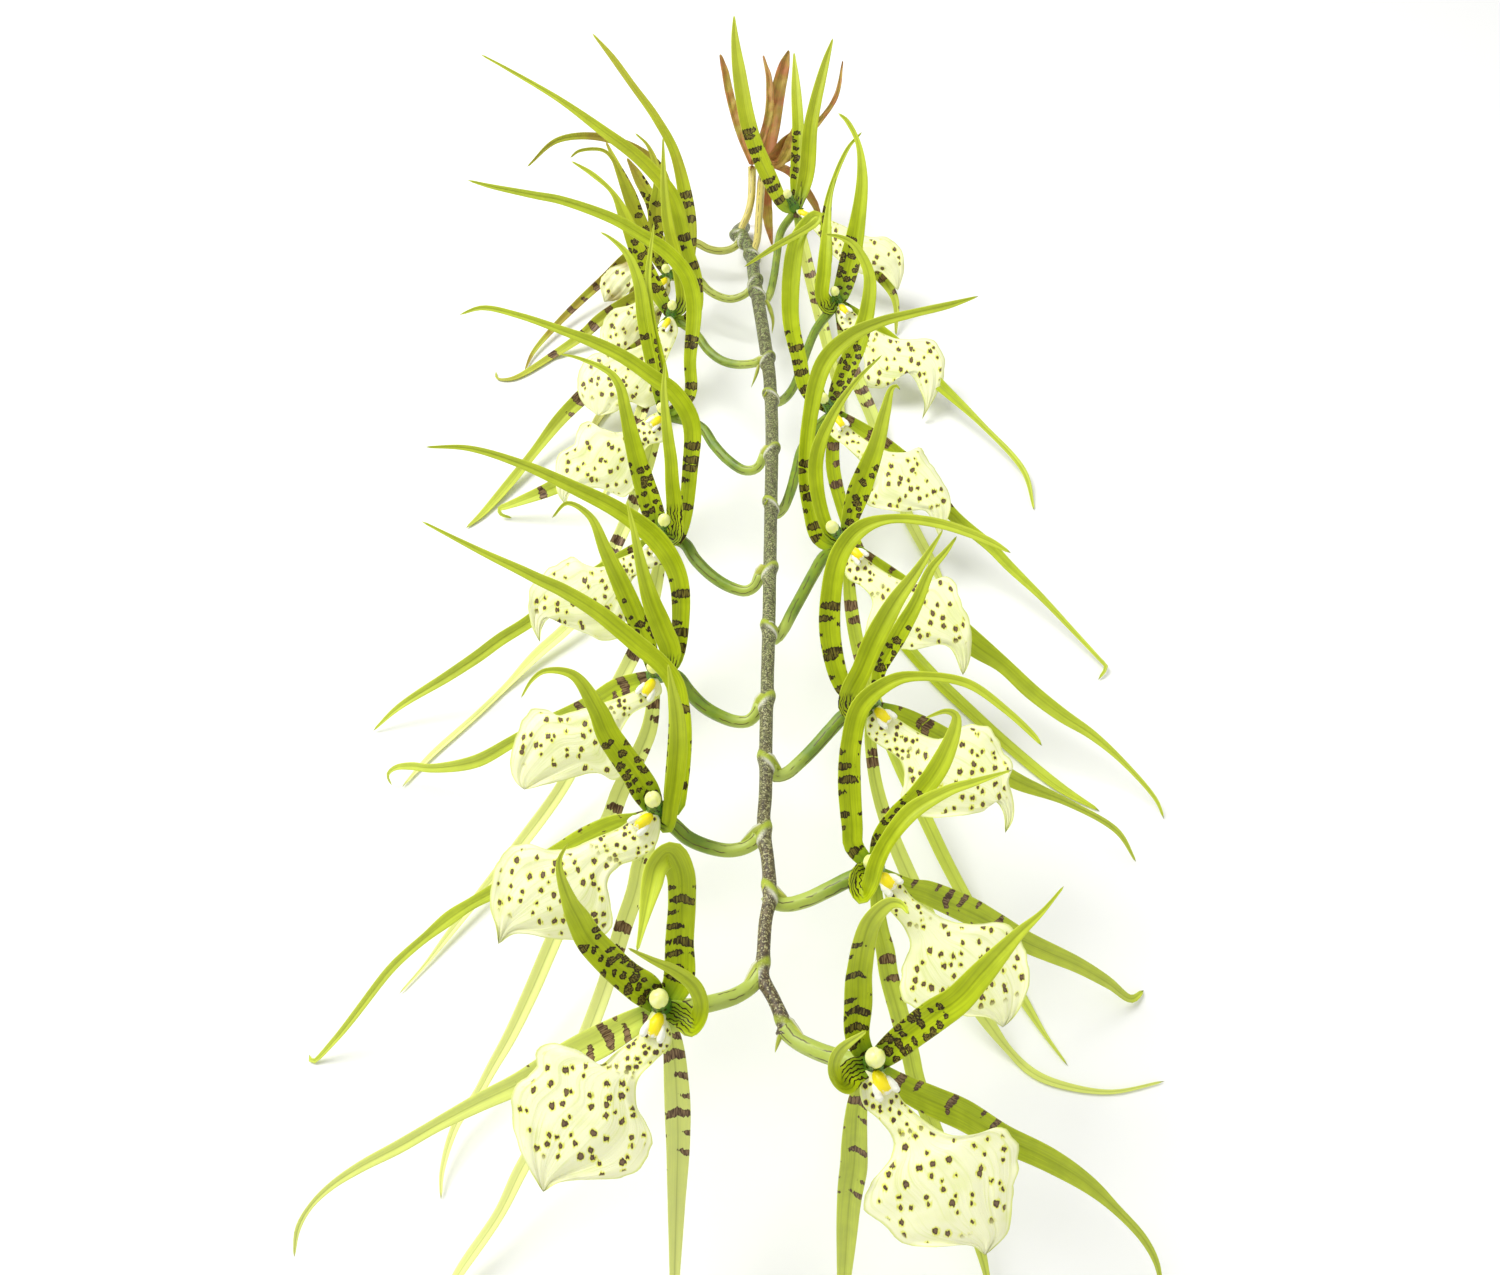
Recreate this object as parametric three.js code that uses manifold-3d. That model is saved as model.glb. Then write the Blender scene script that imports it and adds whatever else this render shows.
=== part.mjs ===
// A cut flowering spray of the spider orchid Brassia, lying on a surface. Millimetres, +Z up.
//
// The spray is laid out as it is seen from one station point above its growing tip. FLOWERS gives each
// tepal's midline and width as points [x, y, width] on a sheet held in front of that point, and a reach: how
// far its far end lies from the flower's heart toward the station point, or SURFACE where it comes down to
// the surface.

import * as THREE from 'three';
import * as BufferGeometryUtils from 'three/addons/utils/BufferGeometryUtils.js';
import Module from 'manifold-3d';

const wasm = await Module();
wasm.setup();

// ---- Driving dimensions, mm ----

const TEPAL_THICKNESS = 1.8;
const TEPAL_FULLNESS = 1; // how wide the tepals are, against their layout
const FOOT_WIDTH = 0.62; // how wide a tepal is in the heart, as a share of the first width of its layout
const NARROWEST = 1.2; // the least width of a tepal's tip
const THIN_END = { from: 0.9, share: 0.7 }; // where a blade thins out, and to what share of its thickness
const LIP_THICKNESS = 1.7;
const LIP_CURL = 0.07; // how far the lip's edges fall back, as a share of its width
const LIP_ROOT = 0.35; // how wide the lip's root is, as a share of its neck
const LIP_END = 0.985; // the last ring of the lip, just short of its pointed tip
const STALK = { radius: 2.3, ovaryRadius: 2.7, behind: 8, hooksAt: 0.8 }; // it hooks forward to the heart
const RACHIS_RADIUS = { tip: 1.75, cut: 4.3 };
const NODE_SWELLING = 1.35; // how many times thicker the stem is at a node
const HEART_RADIUS = 4.6; // where the five tepals join
const COLUMN = { length: 9, radius: 2.4, capRadius: 2.9 };
const BRACT = { length: 9, width: 5.5, thickness: 1.2, behind: 4.6 }; // the papery scale below each stalk
const GAP = 0.3; // clearance between pieces that touch
const NODE_LENGTH = 8; // how far a node's swelling reaches along the stem
const BOW = { dorsal: 2, petal: -3, lateral: 6, lip: -6 }; // how far the middle of an organ bows away
const LIFT = { dorsal: 0, petal: 1, lateral: -1, lip: 3 }; // where an organ leaves the heart
const DROOP = 1.4; // above 1, an organ leaves the heart level and curves more toward its end
const FLATTENING_HEIGHT = 22; // a blade lower than this turns to lie flat on the surface
const TURNING = 0.4; // how strongly a ring keeps the facing of the ring before it
// How many rings each piece has.
const STATIONS = { rachis: 72, stalk: 9, dorsal: 12, petal: 10, lateral: 12, lip: 12 };
const SIDES = { rachis: 8, round: 5 }; // of the stem, and of stalks and columns

// ---- The station point and its sheet ----

const SHEET = { centreX: 750, centreY: 637.5, distance: 1100 };
const STATION_HEIGHT = 415;
const STATION_PITCH = THREE.MathUtils.degToRad(50); // below the horizon
const ORIGIN_OFFSET = new THREE.Vector3(-3, -425.7, 0); // moves the middle of the spray onto the origin
const HEART_PLANE = { scale: 414600, horizon: -327 }; // a heart's depth = scale / (sheet y - horizon)
const RACHIS_BEHIND = { tip: 16, cut: 4 }; // how far the stem lies behind the hearts

const station = new THREE.Vector3(0, 0, STATION_HEIGHT).add(ORIGIN_OFFSET);
const right = new THREE.Vector3(1, 0, 0);
const forward = new THREE.Vector3(0, Math.cos(STATION_PITCH), -Math.sin(STATION_PITCH));
const up = new THREE.Vector3(0, Math.sin(STATION_PITCH), Math.cos(STATION_PITCH));

function sightLine([x, y]) {
  return forward.clone()
    .addScaledVector(right, (x - SHEET.centreX) / SHEET.distance)
    .addScaledVector(up, (SHEET.centreY - y) / SHEET.distance);
}

// The point at a depth along a sight line, kept above the surface by at least the clearance.
function place(sheetPoint, depth, clearance) {
  const sight = sightLine(sheetPoint);
  const surfaceDepth = sight.z < 0 ? (STATION_HEIGHT - clearance) / -sight.z : Infinity;
  return station.clone().addScaledVector(sight, Math.min(depth, surfaceDepth));
}

function heartDepth([, y]) {
  return HEART_PLANE.scale / (y - HEART_PLANE.horizon);
}

// ---- The layout: midlines on the sheet, from the heart outward ----

const SURFACE = null; // a reach that ends on the surface
const RACHIS_LINE = [
  [781, 1038], [785, 1026], [775, 1002], [762, 974], [763.5, 950], [765.5, 922], [770, 893], [768, 863],
  [763.5, 825], [765.5, 794], [766, 735], [767.5, 676], [769, 618], [770, 560], [771, 500], [772, 440],
  [771, 400], [769, 372], [763, 330], [759, 306], [754, 275], [751, 252], [744, 240], [738, 234],
];
const CUT_END = [744, 227];

const FLOWERS = {
  left_1: {
    heart: [662, 1008], cap: [659, 999], node: [762, 970],
    stalk: [[752, 985], [735, 996], [712, 1003], [690, 1007]],
    lip: {
      reach: 8,
      upper: [
        [650, 1014], [640, 1033], [617, 1051], [598, 1065], [580, 1051], [549, 1043], [536, 1050],
        [536, 1067], [514, 1088], [513, 1125], [522, 1155], [543, 1193],
      ],
      lower: [
        [672, 1042], [655, 1061], [638, 1080], [637, 1105], [652, 1137], [648, 1158], [630, 1175],
        [558, 1183], [543, 1193],
      ],
    },
    dorsal: {
      reach: 38,
      line: [
        [679, 980, 31], [680, 940, 29], [682, 900, 28], [680, 870, 29], [669, 853, 30], [656, 866, 24],
        [651, 885, 22], [642, 928, 11], [637, 951, 3],
      ],
    },
    petals: [
      {
        reach: 22,
        line: [
          [645, 989, 33], [627, 976, 31], [591, 941, 29], [578, 918, 24], [569, 900, 16], [559, 862, 6],
          [568, 843, 2],
        ],
      },
      {
        reach: 30,
        line: [
          [684, 1016, 26], [694, 1026, 25], [702, 1008, 18], [695, 986, 16], [676, 971, 12], [652, 960, 7],
          [628, 948, 2],
        ],
      },
    ],
    laterals: [
      {
        reach: SURFACE,
        line: [
          [640, 1019, 24], [600, 1041, 32], [560, 1061, 29], [520, 1083, 22], [480, 1102, 18],
          [440, 1123, 17.5], [400, 1146, 17], [360, 1167, 14], [330, 1187, 10], [310, 1207, 8],
          [298, 1229, 6], [294, 1258, 2],
        ],
      },
      {
        reach: SURFACE,
        line: [
          [672, 1040, 20], [677, 1100, 26], [678, 1140, 24], [677, 1180, 20], [676, 1220, 16],
          [675, 1260, 12], [674, 1300, 8], [672, 1335, 2],
        ],
      },
    ],
  },
  left_2: {
    heart: [656, 812], cap: [653, 800], node: [761, 834],
    stalk: [[753, 843], [742, 848.5], [728, 850.5], [709, 847], [688, 838], [672, 824]],
    lip: {
      reach: 10,
      upper: [
        [635, 815], [622, 826], [590, 840], [568, 849], [545, 849], [526, 843], [508, 847], [494, 872],
        [490, 905], [496, 928], [498, 945],
      ],
      lower: [
        [660, 832], [654, 848], [638, 859], [620, 866], [608, 880], [611, 905], [611, 928], [600, 937],
        [560, 940], [515, 934], [498, 945],
      ],
    },
    dorsal: {
      reach: 12,
      line: [
        [673, 806, 22], [676, 790, 24], [680, 735, 25], [679, 706, 23], [673, 681, 24], [662, 664, 27],
        [641, 646, 28], [598, 610, 22], [564, 587, 18], [538, 573, 14.5], [482, 544, 8], [421, 521, 2],
      ],
    },
    petals: [
      {
        reach: 18,
        line: [
          [646, 792, 28], [634, 772, 27], [608, 734, 24], [597, 709, 19], [573, 675, 10], [545, 671, 5],
          [532, 680, 4], [521, 698, 1.5],
        ],
      },
      { reach: 8, line: [[668, 826, 12], [670, 806, 15], [673, 750, 14], [672, 715, 10], [668, 668, 2]] },
    ],
    laterals: [
      {
        reach: SURFACE,
        line: [
          [638, 822, 20], [615, 828, 26], [588, 840, 27], [560, 856, 25], [520, 878, 20], [473, 903, 15],
          [450, 918, 14.5], [426, 937, 14], [406, 954, 12.5], [390, 970, 11], [335, 1040, 7],
          [312, 1062, 6], [309, 1054, 3],
        ],
      },
      {
        reach: SURFACE,
        line: [
          [648, 845, 16], [641, 864, 18], [636, 889, 18], [623, 928, 18], [607, 981, 17], [591, 1025, 17],
          [570, 1075, 16], [540, 1135, 14], [520, 1172, 13], [500, 1213, 12], [460, 1272, 11],
          [436, 1312, 2],
        ],
      },
    ],
  },
  left_3: {
    heart: [656, 676], cap: [654, 667], node: [762, 702],
    stalk: [[756, 714], [748, 721], [736, 721.5], [720, 716], [703, 706], [689, 692], [675, 676]],
    lip: {
      reach: 10,
      upper: [
        [648, 680], [636, 690], [575, 711], [558, 715], [545, 709], [530, 710], [510, 762], [514, 780],
        [524, 790],
      ],
      lower: [
        [662, 692], [652, 703], [632, 714], [621, 733], [619, 755], [622, 777], [612, 780], [598, 773],
        [575, 778], [524, 790],
      ],
    },
    dorsal: {
      reach: 12,
      line: [
        [673, 664, 14], [681, 614, 18], [677, 574, 20], [657, 540, 21], [620, 511, 17.5], [575, 488, 14],
        [522, 464, 9.5], [468, 448, 6], [425, 447, 2],
      ],
    },
    petals: [
      {
        reach: 16,
        line: [
          [645, 640, 20], [625, 592, 20], [606, 551, 14], [590, 516, 7.5], [567, 503, 4.5], [552, 518, 2],
        ],
      },
      { reach: 10, line: [[667, 655, 17], [652, 603, 15], [636, 562, 8.5], [627, 501, 1.5]] },
    ],
    laterals: [
      {
        reach: SURFACE,
        line: [
          [640, 682, 20], [618, 690, 23], [595, 704, 22], [540, 728, 16], [514, 741, 12.5],
          [476, 761, 13.5], [431, 768, 10.5], [412, 766, 8], [395, 768, 5.5], [388, 775, 4], [392, 786, 2],
        ],
      },
      {
        reach: SURFACE,
        line: [
          [650, 726, 16], [642, 748, 17], [620, 792, 18], [612, 814, 18], [600, 840, 18], [580, 885, 17],
          [560, 925, 17], [531, 992, 14.5], [510, 1036, 14], [493, 1066, 12], [477, 1095, 10],
          [457, 1123, 9], [442, 1172, 5], [441, 1200, 2],
        ],
      },
    ],
  },
  left_4: {
    heart: [662, 536], cap: [664, 521], node: [762, 572],
    stalk: [[755, 586], [746, 591], [730, 587], [712, 576], [695, 559], [684, 543]],
    lip: {
      reach: 10,
      upper: [
        [650, 541], [640, 549], [618, 559], [600, 567], [584, 564], [572, 557], [533, 584], [528, 605],
        [532, 627], [540, 643],
      ],
      lower: [
        [664, 560], [632, 580], [627, 610], [619, 637], [602, 641], [588, 634], [565, 626], [550, 618],
        [542, 628], [540, 643],
      ],
    },
    dorsal: {
      reach: 14,
      line: [
        [675, 541, 13], [683, 525, 14], [690, 470, 16], [691, 422, 18], [672, 391, 17.5], [654, 378, 15.5],
        [625, 358, 14], [595, 343, 12], [566, 332, 9], [520, 316, 6.5], [482, 308, 5], [459, 315, 1.5],
      ],
    },
    petals: [
      {
        reach: 14,
        line: [
          [652, 508, 23], [636, 455, 18.5], [625, 408, 12.5], [620, 387, 9.5], [610, 373, 7],
          [578, 358, 3.5], [560, 354, 1.5],
        ],
      },
      {
        reach: 16,
        line: [
          [670, 518, 13], [671, 466, 13], [668, 437, 11.5], [664, 393, 6.5], [665, 362, 1.5],
        ],
      },
    ],
    laterals: [
      {
        reach: SURFACE,
        line: [
          [640, 548, 14], [600, 573, 17], [560, 600, 16], [525, 624, 13], [501, 639, 13], [478, 656, 12.5],
          [448, 676, 13], [398, 708, 8], [373, 731, 2],
        ],
      },
      {
        reach: SURFACE,
        line: [
          [660, 560, 12], [650, 610, 15], [640, 640, 15], [612, 695, 15], [590, 735, 14], [560, 790, 13.5],
          [520, 845, 12], [480, 895, 10], [450, 933, 8], [425, 965, 6], [399, 994, 2],
        ],
      },
    ],
  },
  left_5: {
    heart: [664, 415], node: [766, 452],
    stalk: [[757, 468], [745, 470.5], [728, 460], [714, 445], [701, 427]],
    lip: {
      reach: 10,
      upper: [
        [655, 413], [620, 432], [602, 428], [588, 421], [577, 431], [574, 443], [558, 455], [557, 492],
        [566, 506],
      ],
      lower: [
        [667, 440], [648, 446], [640, 462], [636, 486], [624, 497], [598, 488], [570, 494], [566, 506],
      ],
    },
    dorsal: {
      reach: 12,
      line: [
        [681, 405, 12], [690, 394, 12.5], [690, 360, 12.5], [694, 305, 16], [687, 276, 15.5],
        [666, 251, 14.5], [640, 234, 12.5], [614, 219, 11], [561, 200, 8.5], [535, 195, 7.5],
        [490, 186, 4.5], [467, 180, 1.5],
      ],
    },
    petals: [
      {
        reach: 14,
        line: [
          [657, 382, 14.5], [645, 322, 15.5], [639, 283, 12], [627, 254, 7], [609, 237, 3.5],
          [600, 232, 1.5],
        ],
      },
      { reach: 12, line: [[664, 382, 10.5], [652, 324, 9], [648, 280, 7], [654, 223, 1.5]] },
    ],
    laterals: [
      {
        reach: SURFACE,
        line: [
          [655, 424, 12], [600, 455, 20], [562, 483, 16], [508, 506, 8], [500, 509, 6], [501, 514, 4.5],
          [512, 518, 2],
        ],
      },
      {
        reach: SURFACE,
        line: [
          [654, 440, 13], [646, 468, 14], [625, 525, 14], [612, 553, 14], [594, 590, 13.5], [572, 623, 13],
          [536, 656, 12], [507, 686, 10.5], [478, 714, 10], [431, 756, 7], [402, 787, 2],
        ],
      },
    ],
  },
  left_6: {
    heart: [671, 316], cap: [672, 306], node: [762, 361],
    stalk: [[755, 363], [745, 364.5], [733, 364], [720, 359.5], [708, 350], [696, 334]],
    lip: {
      reach: 10,
      upper: [
        [664, 322], [640, 345], [618, 352], [600, 352], [583, 362], [577, 385], [582, 402], [598, 416],
      ],
      lower: [
        [678, 330], [665, 365], [660, 401], [646, 408], [630, 402], [615, 412], [598, 416],
      ],
    },
    dorsal: {
      reach: 12,
      line: [
        [684, 322, 13], [694, 312, 14], [695, 280, 14.5], [686, 249, 14.5], [678, 212, 14.5],
        [670, 193, 14.5], [641, 160, 13], [603, 131, 10.5], [560, 100, 8], [511, 71, 4.5], [480, 54, 1.5],
      ],
    },
    petals: [
      {
        reach: 14,
        line: [
          [655, 288, 17], [640, 257, 17], [624, 215, 12.5], [612, 192, 8.5], [592, 174, 5], [571, 161, 1.5],
        ],
      },
      {
        reach: 16,
        line: [
          [676, 300, 12], [676, 265, 13], [668, 225, 11.5], [664, 185, 7], [663, 137, 1.5],
        ],
      },
    ],
    laterals: [
      {
        reach: SURFACE,
        line: [
          [660, 330, 12], [615, 368, 16], [592, 388, 15.5], [561, 419, 14], [535, 452, 12.5],
          [508, 486, 11.5], [482, 515, 7], [466, 528, 2],
        ],
      },
      {
        reach: SURFACE,
        line: [
          [664, 335, 12], [650, 388, 13], [630, 442, 11.5], [618, 468, 9], [600, 502, 2],
        ],
      },
    ],
  },
  left_7: {
    heart: [668, 276], node: [755, 283],
    stalk: [[749, 291], [742, 296], [731, 299], [719, 296.5], [708, 290], [697, 279]],
    lip: {
      reach: 8,
      upper: [
        [660, 284], [632, 304], [612, 310], [602, 325], [600, 345], [606, 360],
      ],
      lower: [
        [670, 292], [662, 305], [650, 318], [636, 350], [622, 354], [606, 360],
      ],
    },
    dorsal: {
      reach: 10,
      line: [
        [681, 270, 13], [687, 258, 14.5], [688, 218, 16], [675, 154, 14], [656, 118, 11.5], [633, 86, 9.5],
        [612, 57, 6], [592, 33, 1.5],
      ],
    },
    petals: [
      {
        reach: 20,
        line: [
          [662, 262, 11], [655, 215, 13], [658, 175, 8.5], [648, 146, 3.5], [635, 133, 1.5],
        ],
      },
      {
        reach: 24,
        line: [
          [655, 255, 12], [633, 205, 14], [612, 158, 7], [602, 150, 4.5], [579, 151, 3], [570, 158, 1.5],
        ],
      },
    ],
    laterals: [
      {
        reach: SURFACE,
        line: [
          [635, 298, 13.5], [600, 320, 12], [585, 334, 11], [553, 356, 9.5], [512, 379, 5], [497, 378, 2.5],
          [496, 371, 1.5],
        ],
      },
      {
        reach: SURFACE,
        line: [
          [655, 315, 12], [643, 345, 12.5], [612, 398, 11.5], [592, 430, 6], [588, 445, 2],
        ],
      },
    ],
  },
  left_8: {
    heart: [645, 246], node: [741, 240],
    stalk: [[737, 245], [731, 249], [721, 251], [709, 249], [697, 243], [680, 238]],
    lip: {
      reach: 6,
      upper: [
        [640, 250], [626, 262], [610, 268], [600, 282], [604, 302],
      ],
      lower: [
        [650, 256], [622, 298], [604, 302],
      ],
    },
    dorsal: {
      reach: 16,
      line: [
        [655, 236, 10], [666, 207, 12], [658, 168, 11.5], [610, 139, 8], [558, 140, 5], [527, 167, 1.5],
      ],
    },
    petals: [
      { reach: 12, line: [[643, 232, 11], [631, 198, 14], [616, 163, 10.5], [606, 142, 2]] },
      { reach: 18, line: [[652, 236, 10], [653, 207, 13], [639, 178, 11], [627, 158, 2]] },
    ],
    laterals: [
      {
        reach: SURFACE,
        line: [
          [628, 258, 12.5], [608, 276, 10], [582, 300, 8.5], [556, 326, 7], [533, 353, 4], [525, 370, 1.5],
        ],
      },
      { reach: SURFACE, line: [[640, 275, 11], [627, 320, 11.5], [610, 365, 6], [604, 385, 2]] },
    ],
  },
  right_1: {
    heart: [872, 1066], cap: [875, 1058], node: [783, 1027],
    stalk: [[796, 1040], [815, 1050], [838, 1058]],
    lip: {
      reach: 8,
      upper: [
        [892, 1082], [905, 1103], [948, 1134], [975, 1134], [1000, 1127], [1012, 1134], [1019, 1155],
        [1013, 1195], [1008, 1232], [985, 1256],
      ],
      lower: [
        [860, 1084], [863, 1105], [880, 1121], [893, 1140], [890, 1158], [870, 1185], [863, 1207],
        [885, 1226], [902, 1243], [935, 1247], [972, 1246], [985, 1256],
      ],
    },
    dorsal: {
      reach: 38,
      line: [
        [857, 1038, 25], [858, 1000, 28.5], [859, 971, 26.5], [871, 921, 20], [891, 902, 13], [902, 904, 9],
        [909, 914, 3],
      ],
    },
    petals: [
      {
        reach: 24,
        line: [
          [888, 1051, 26], [933, 1016, 32], [958, 999, 28.5], [981, 974, 25], [1019, 933, 12],
          [1042, 912, 6.5], [1064, 886, 2],
        ],
      },
      {
        reach: 30,
        line: [
          [853, 1072, 26], [843, 1084, 26], [833, 1070, 16], [838, 1052, 13], [866, 1031, 3],
        ],
      },
    ],
    laterals: [
      {
        reach: SURFACE,
        line: [
          [863, 1085, 18], [858, 1104, 21], [855, 1138, 26], [854, 1165, 27.5], [850, 1193, 25],
          [846, 1249, 18.5], [843, 1305, 9], [844, 1335, 2],
        ],
      },
      {
        reach: SURFACE,
        line: [
          [900, 1085, 24], [930, 1100, 29], [960, 1113, 30], [1000, 1136, 26.5], [1050, 1160, 23.5],
          [1088, 1184, 17], [1115, 1208, 15.5], [1143, 1238, 13], [1156, 1262, 10], [1162, 1290, 3],
        ],
      },
    ],
  },
  right_2: {
    heart: [874, 870], node: [767, 892],
    stalk: [[773, 901], [786, 904.5], [805, 900.5], [828, 890], [850, 879]],
    lip: {
      reach: 10,
      upper: [
        [902, 884], [912, 897], [948, 920], [975, 924], [1000, 922], [1014, 930], [1030, 975], [1018, 1012],
        [1003, 1028],
      ],
      lower: [
        [884, 893], [888, 908], [902, 925], [910, 945], [904, 962], [900, 985], [906, 1004], [930, 1010],
        [965, 1016], [988, 1018], [1003, 1028],
      ],
    },
    dorsal: {
      reach: 20,
      line: [
        [853, 845, 20], [852, 828, 21], [849, 783, 23], [851, 742, 21], [862, 704, 20], [894, 680, 14],
        [919, 676, 10], [967, 683, 8.5], [1006, 710, 7.5], [1035, 737, 5], [1042, 746, 2],
      ],
    },
    petals: [
      {
        reach: 14,
        line: [
          [881, 838, 18], [897, 815, 19], [916, 797, 20], [942, 761, 20], [956, 716, 9], [947, 711, 6],
          [925, 718, 2],
        ],
      },
      {
        reach: 22,
        line: [
          [876, 860, 20], [883, 844, 21], [911, 814, 20], [950, 793, 11.5], [972, 785, 8.5],
          [1012, 770, 1.5],
        ],
      },
    ],
    laterals: [
      {
        reach: SURFACE,
        line: [
          [909, 887, 18], [925, 892, 24], [967, 910, 27], [994, 924, 24], [1028, 943, 21], [1077, 965, 21],
          [1108, 983, 16], [1131, 999, 8], [1144, 990, 3],
        ],
      },
      {
        reach: SURFACE,
        line: [
          [880, 928, 16.5], [885, 950, 19], [888, 972, 19.5], [899, 1014, 19], [910, 1054, 18.5],
          [915, 1077, 18], [930, 1120, 17], [950, 1170, 16], [968, 1215, 13], [980, 1250, 11],
          [993, 1305, 2],
        ],
      },
    ],
  },
  right_3: {
    heart: [872, 706], node: [768, 763],
    stalk: [[773, 775], [785, 774], [800, 762], [815, 747], [833, 727], [845, 715]],
    lip: {
      reach: 10,
      upper: [
        [888, 712], [938, 739], [960, 727], [978, 724], [992, 730], [1003, 750], [1013, 766], [1009, 780],
        [1014, 803], [1013, 820], [1005, 834],
      ],
      lower: [
        [867, 734], [901, 762], [904, 783], [900, 800], [922, 817], [955, 816], [984, 811], [994, 801],
        [1003, 812], [1005, 834],
      ],
    },
    dorsal: {
      reach: 18,
      line: [
        [846, 691, 17], [831, 643, 21], [831, 594, 21], [840, 554, 19.5], [860, 529, 17], [889, 519, 12],
        [937, 523, 10], [989, 541, 7.5], [1011, 553, 2],
      ],
    },
    petals: [
      {
        reach: 10,
        line: [
          [877, 688, 12], [879, 671, 13.5], [897, 637, 18], [916, 603, 14], [931, 569, 9.5], [946, 551, 6],
          [957, 536, 1.5],
        ],
      },
      {
        reach: 18,
        line: [
          [864, 690, 14], [864, 671, 16], [877, 637, 17.5], [896, 603, 15.5], [919, 569, 10],
          [943, 530, 1.5],
        ],
      },
    ],
    laterals: [
      {
        reach: SURFACE,
        line: [
          [905, 718, 20], [965, 750, 21], [995, 769, 19], [1017, 781, 16.5], [1069, 803, 12.5],
          [1117, 831, 9.5], [1136, 862, 2],
        ],
      },
      {
        reach: SURFACE,
        line: [
          [870, 730, 11], [874, 772, 12.5], [881, 803, 13.5], [893, 838, 15], [907, 871, 16],
          [925, 910, 16], [945, 950, 15.5], [963, 983, 15], [985, 1018, 14.5], [1007, 1048, 13.5],
          [1030, 1071, 12], [1055, 1085, 10.5], [1110, 1092, 7], [1165, 1081, 2],
        ],
      },
    ],
  },
  right_4: {
    heart: [848, 545], cap: [833, 528], node: [770, 630],
    stalk: [[775, 639], [783, 630], [792, 613], [803, 593], [814, 573], [825, 556]],
    lip: {
      reach: 10,
      upper: [
        [864, 557], [904, 581], [932, 580], [950, 577], [962, 606], [970, 622], [970, 660], [963, 676],
      ],
      lower: [
        [843, 560], [847, 578], [862, 587], [872, 601], [866, 640], [908, 650], [947, 646], [963, 676],
      ],
    },
    dorsal: {
      reach: 14,
      line: [
        [832, 545, 15], [819, 537, 17], [811, 509, 17], [806, 480, 15], [809, 423, 15.5], [824, 363, 18],
        [849, 337, 15.5], [880, 322, 11], [914, 313, 8.5], [949, 305, 7], [979, 296, 1.5],
      ],
    },
    petals: [
      {
        reach: 16,
        line: [
          [848, 528, 15], [859, 491, 23.5], [876, 446, 17], [885, 411, 11.5], [892, 388, 5.5],
          [897, 386, 3], [900, 390, 1.5],
        ],
      },
      {
        reach: 12,
        line: [
          [832, 535, 12], [820, 505, 14], [816, 460, 15], [830, 420, 11], [856, 381, 5], [882, 355, 1.5],
        ],
      },
    ],
    laterals: [
      {
        reach: SURFACE,
        line: [
          [890, 577, 20], [920, 600, 24], [950, 624, 25], [977, 646, 23.5], [1003, 665, 21],
          [1031, 691, 19], [1060, 717, 17.5], [1089, 737, 14], [1117, 763, 9.5], [1156, 800, 5.5],
          [1164, 819, 2],
        ],
      },
      {
        reach: SURFACE,
        line: [
          [850, 597, 13], [858, 647, 14], [868, 680, 14], [880, 715, 14], [900, 765, 14], [926, 820, 14],
          [945, 860, 14], [966, 900, 13.5], [985, 935, 13], [1005, 970, 12], [1023, 1000, 10.5],
          [1045, 1035, 8], [1068, 1066, 2],
        ],
      },
    ],
  },
  right_5: {
    heart: [834, 413], cap: [824, 399], node: [768, 506],
    stalk: [[774, 515], [782, 510], [790, 493], [796, 472], [802, 450], [815, 430]],
    lip: {
      reach: 10,
      upper: [
        [846, 424], [866, 440], [888, 451], [906, 452], [919, 448], [929, 461], [951, 500], [940, 539],
      ],
      lower: [
        [829, 433], [846, 447], [873, 480], [865, 504], [884, 509], [905, 512], [925, 511], [940, 539],
      ],
    },
    dorsal: {
      reach: 12,
      line: [
        [808, 392, 14], [799, 358, 15.5], [791, 319, 17], [793, 261, 18], [799, 236, 15], [812, 217, 10.5],
        [818, 215, 9], [818, 220, 8.5], [773, 248, 6], [744, 267, 1.5],
      ],
    },
    petals: [
      {
        reach: 12,
        line: [
          [835, 400, 15], [847, 367, 20], [856, 347, 19.5], [867, 311, 15.5], [869, 274, 11.5],
          [854, 245, 7], [840, 237, 4.5], [824, 234, 1.5],
        ],
      },
      { reach: 6, line: [[817, 388, 13], [826, 358, 12.5], [851, 336, 9], [886, 321, 1.5]] },
    ],
    laterals: [
      {
        reach: SURFACE,
        line: [
          [872, 438, 18], [918, 475, 19], [953, 515, 12.5], [991, 547, 11], [1010, 567, 10], [1041, 597, 9],
          [1074, 632, 8], [1100, 660, 7], [1106, 667, 6], [1098, 680, 2],
        ],
      },
      {
        reach: SURFACE,
        line: [
          [834, 428, 11], [833, 467, 14], [842, 506, 13], [854, 540, 13], [868, 572, 13], [884, 607, 13],
          [900, 638, 13], [935, 679, 13.5], [960, 703, 13.5], [1010, 748, 12.5], [1060, 788, 10.5],
          [1100, 811, 2.5],
        ],
      },
    ],
  },
  right_6: {
    heart: [838, 303], cap: [835, 292], node: [767, 397],
    stalk: [[774, 403], [783, 400], [793, 388], [801, 368], [808, 348], [817, 328]],
    lip: {
      reach: 10,
      upper: [
        [854, 312], [872, 328], [900, 339], [932, 340], [944, 358], [943, 380], [922, 420],
      ],
      lower: [
        [838, 322], [864, 358], [864, 384], [884, 388], [896, 377], [908, 373], [924, 402], [922, 420],
      ],
    },
    dorsal: {
      reach: 12,
      line: [
        [827, 300, 11], [821, 288, 12.5], [826, 258, 12.5], [826, 222, 10.5], [831, 189, 8.5],
        [848, 148, 5.5], [862, 132, 1.5],
      ],
    },
    petals: [
      {
        reach: 14,
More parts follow.
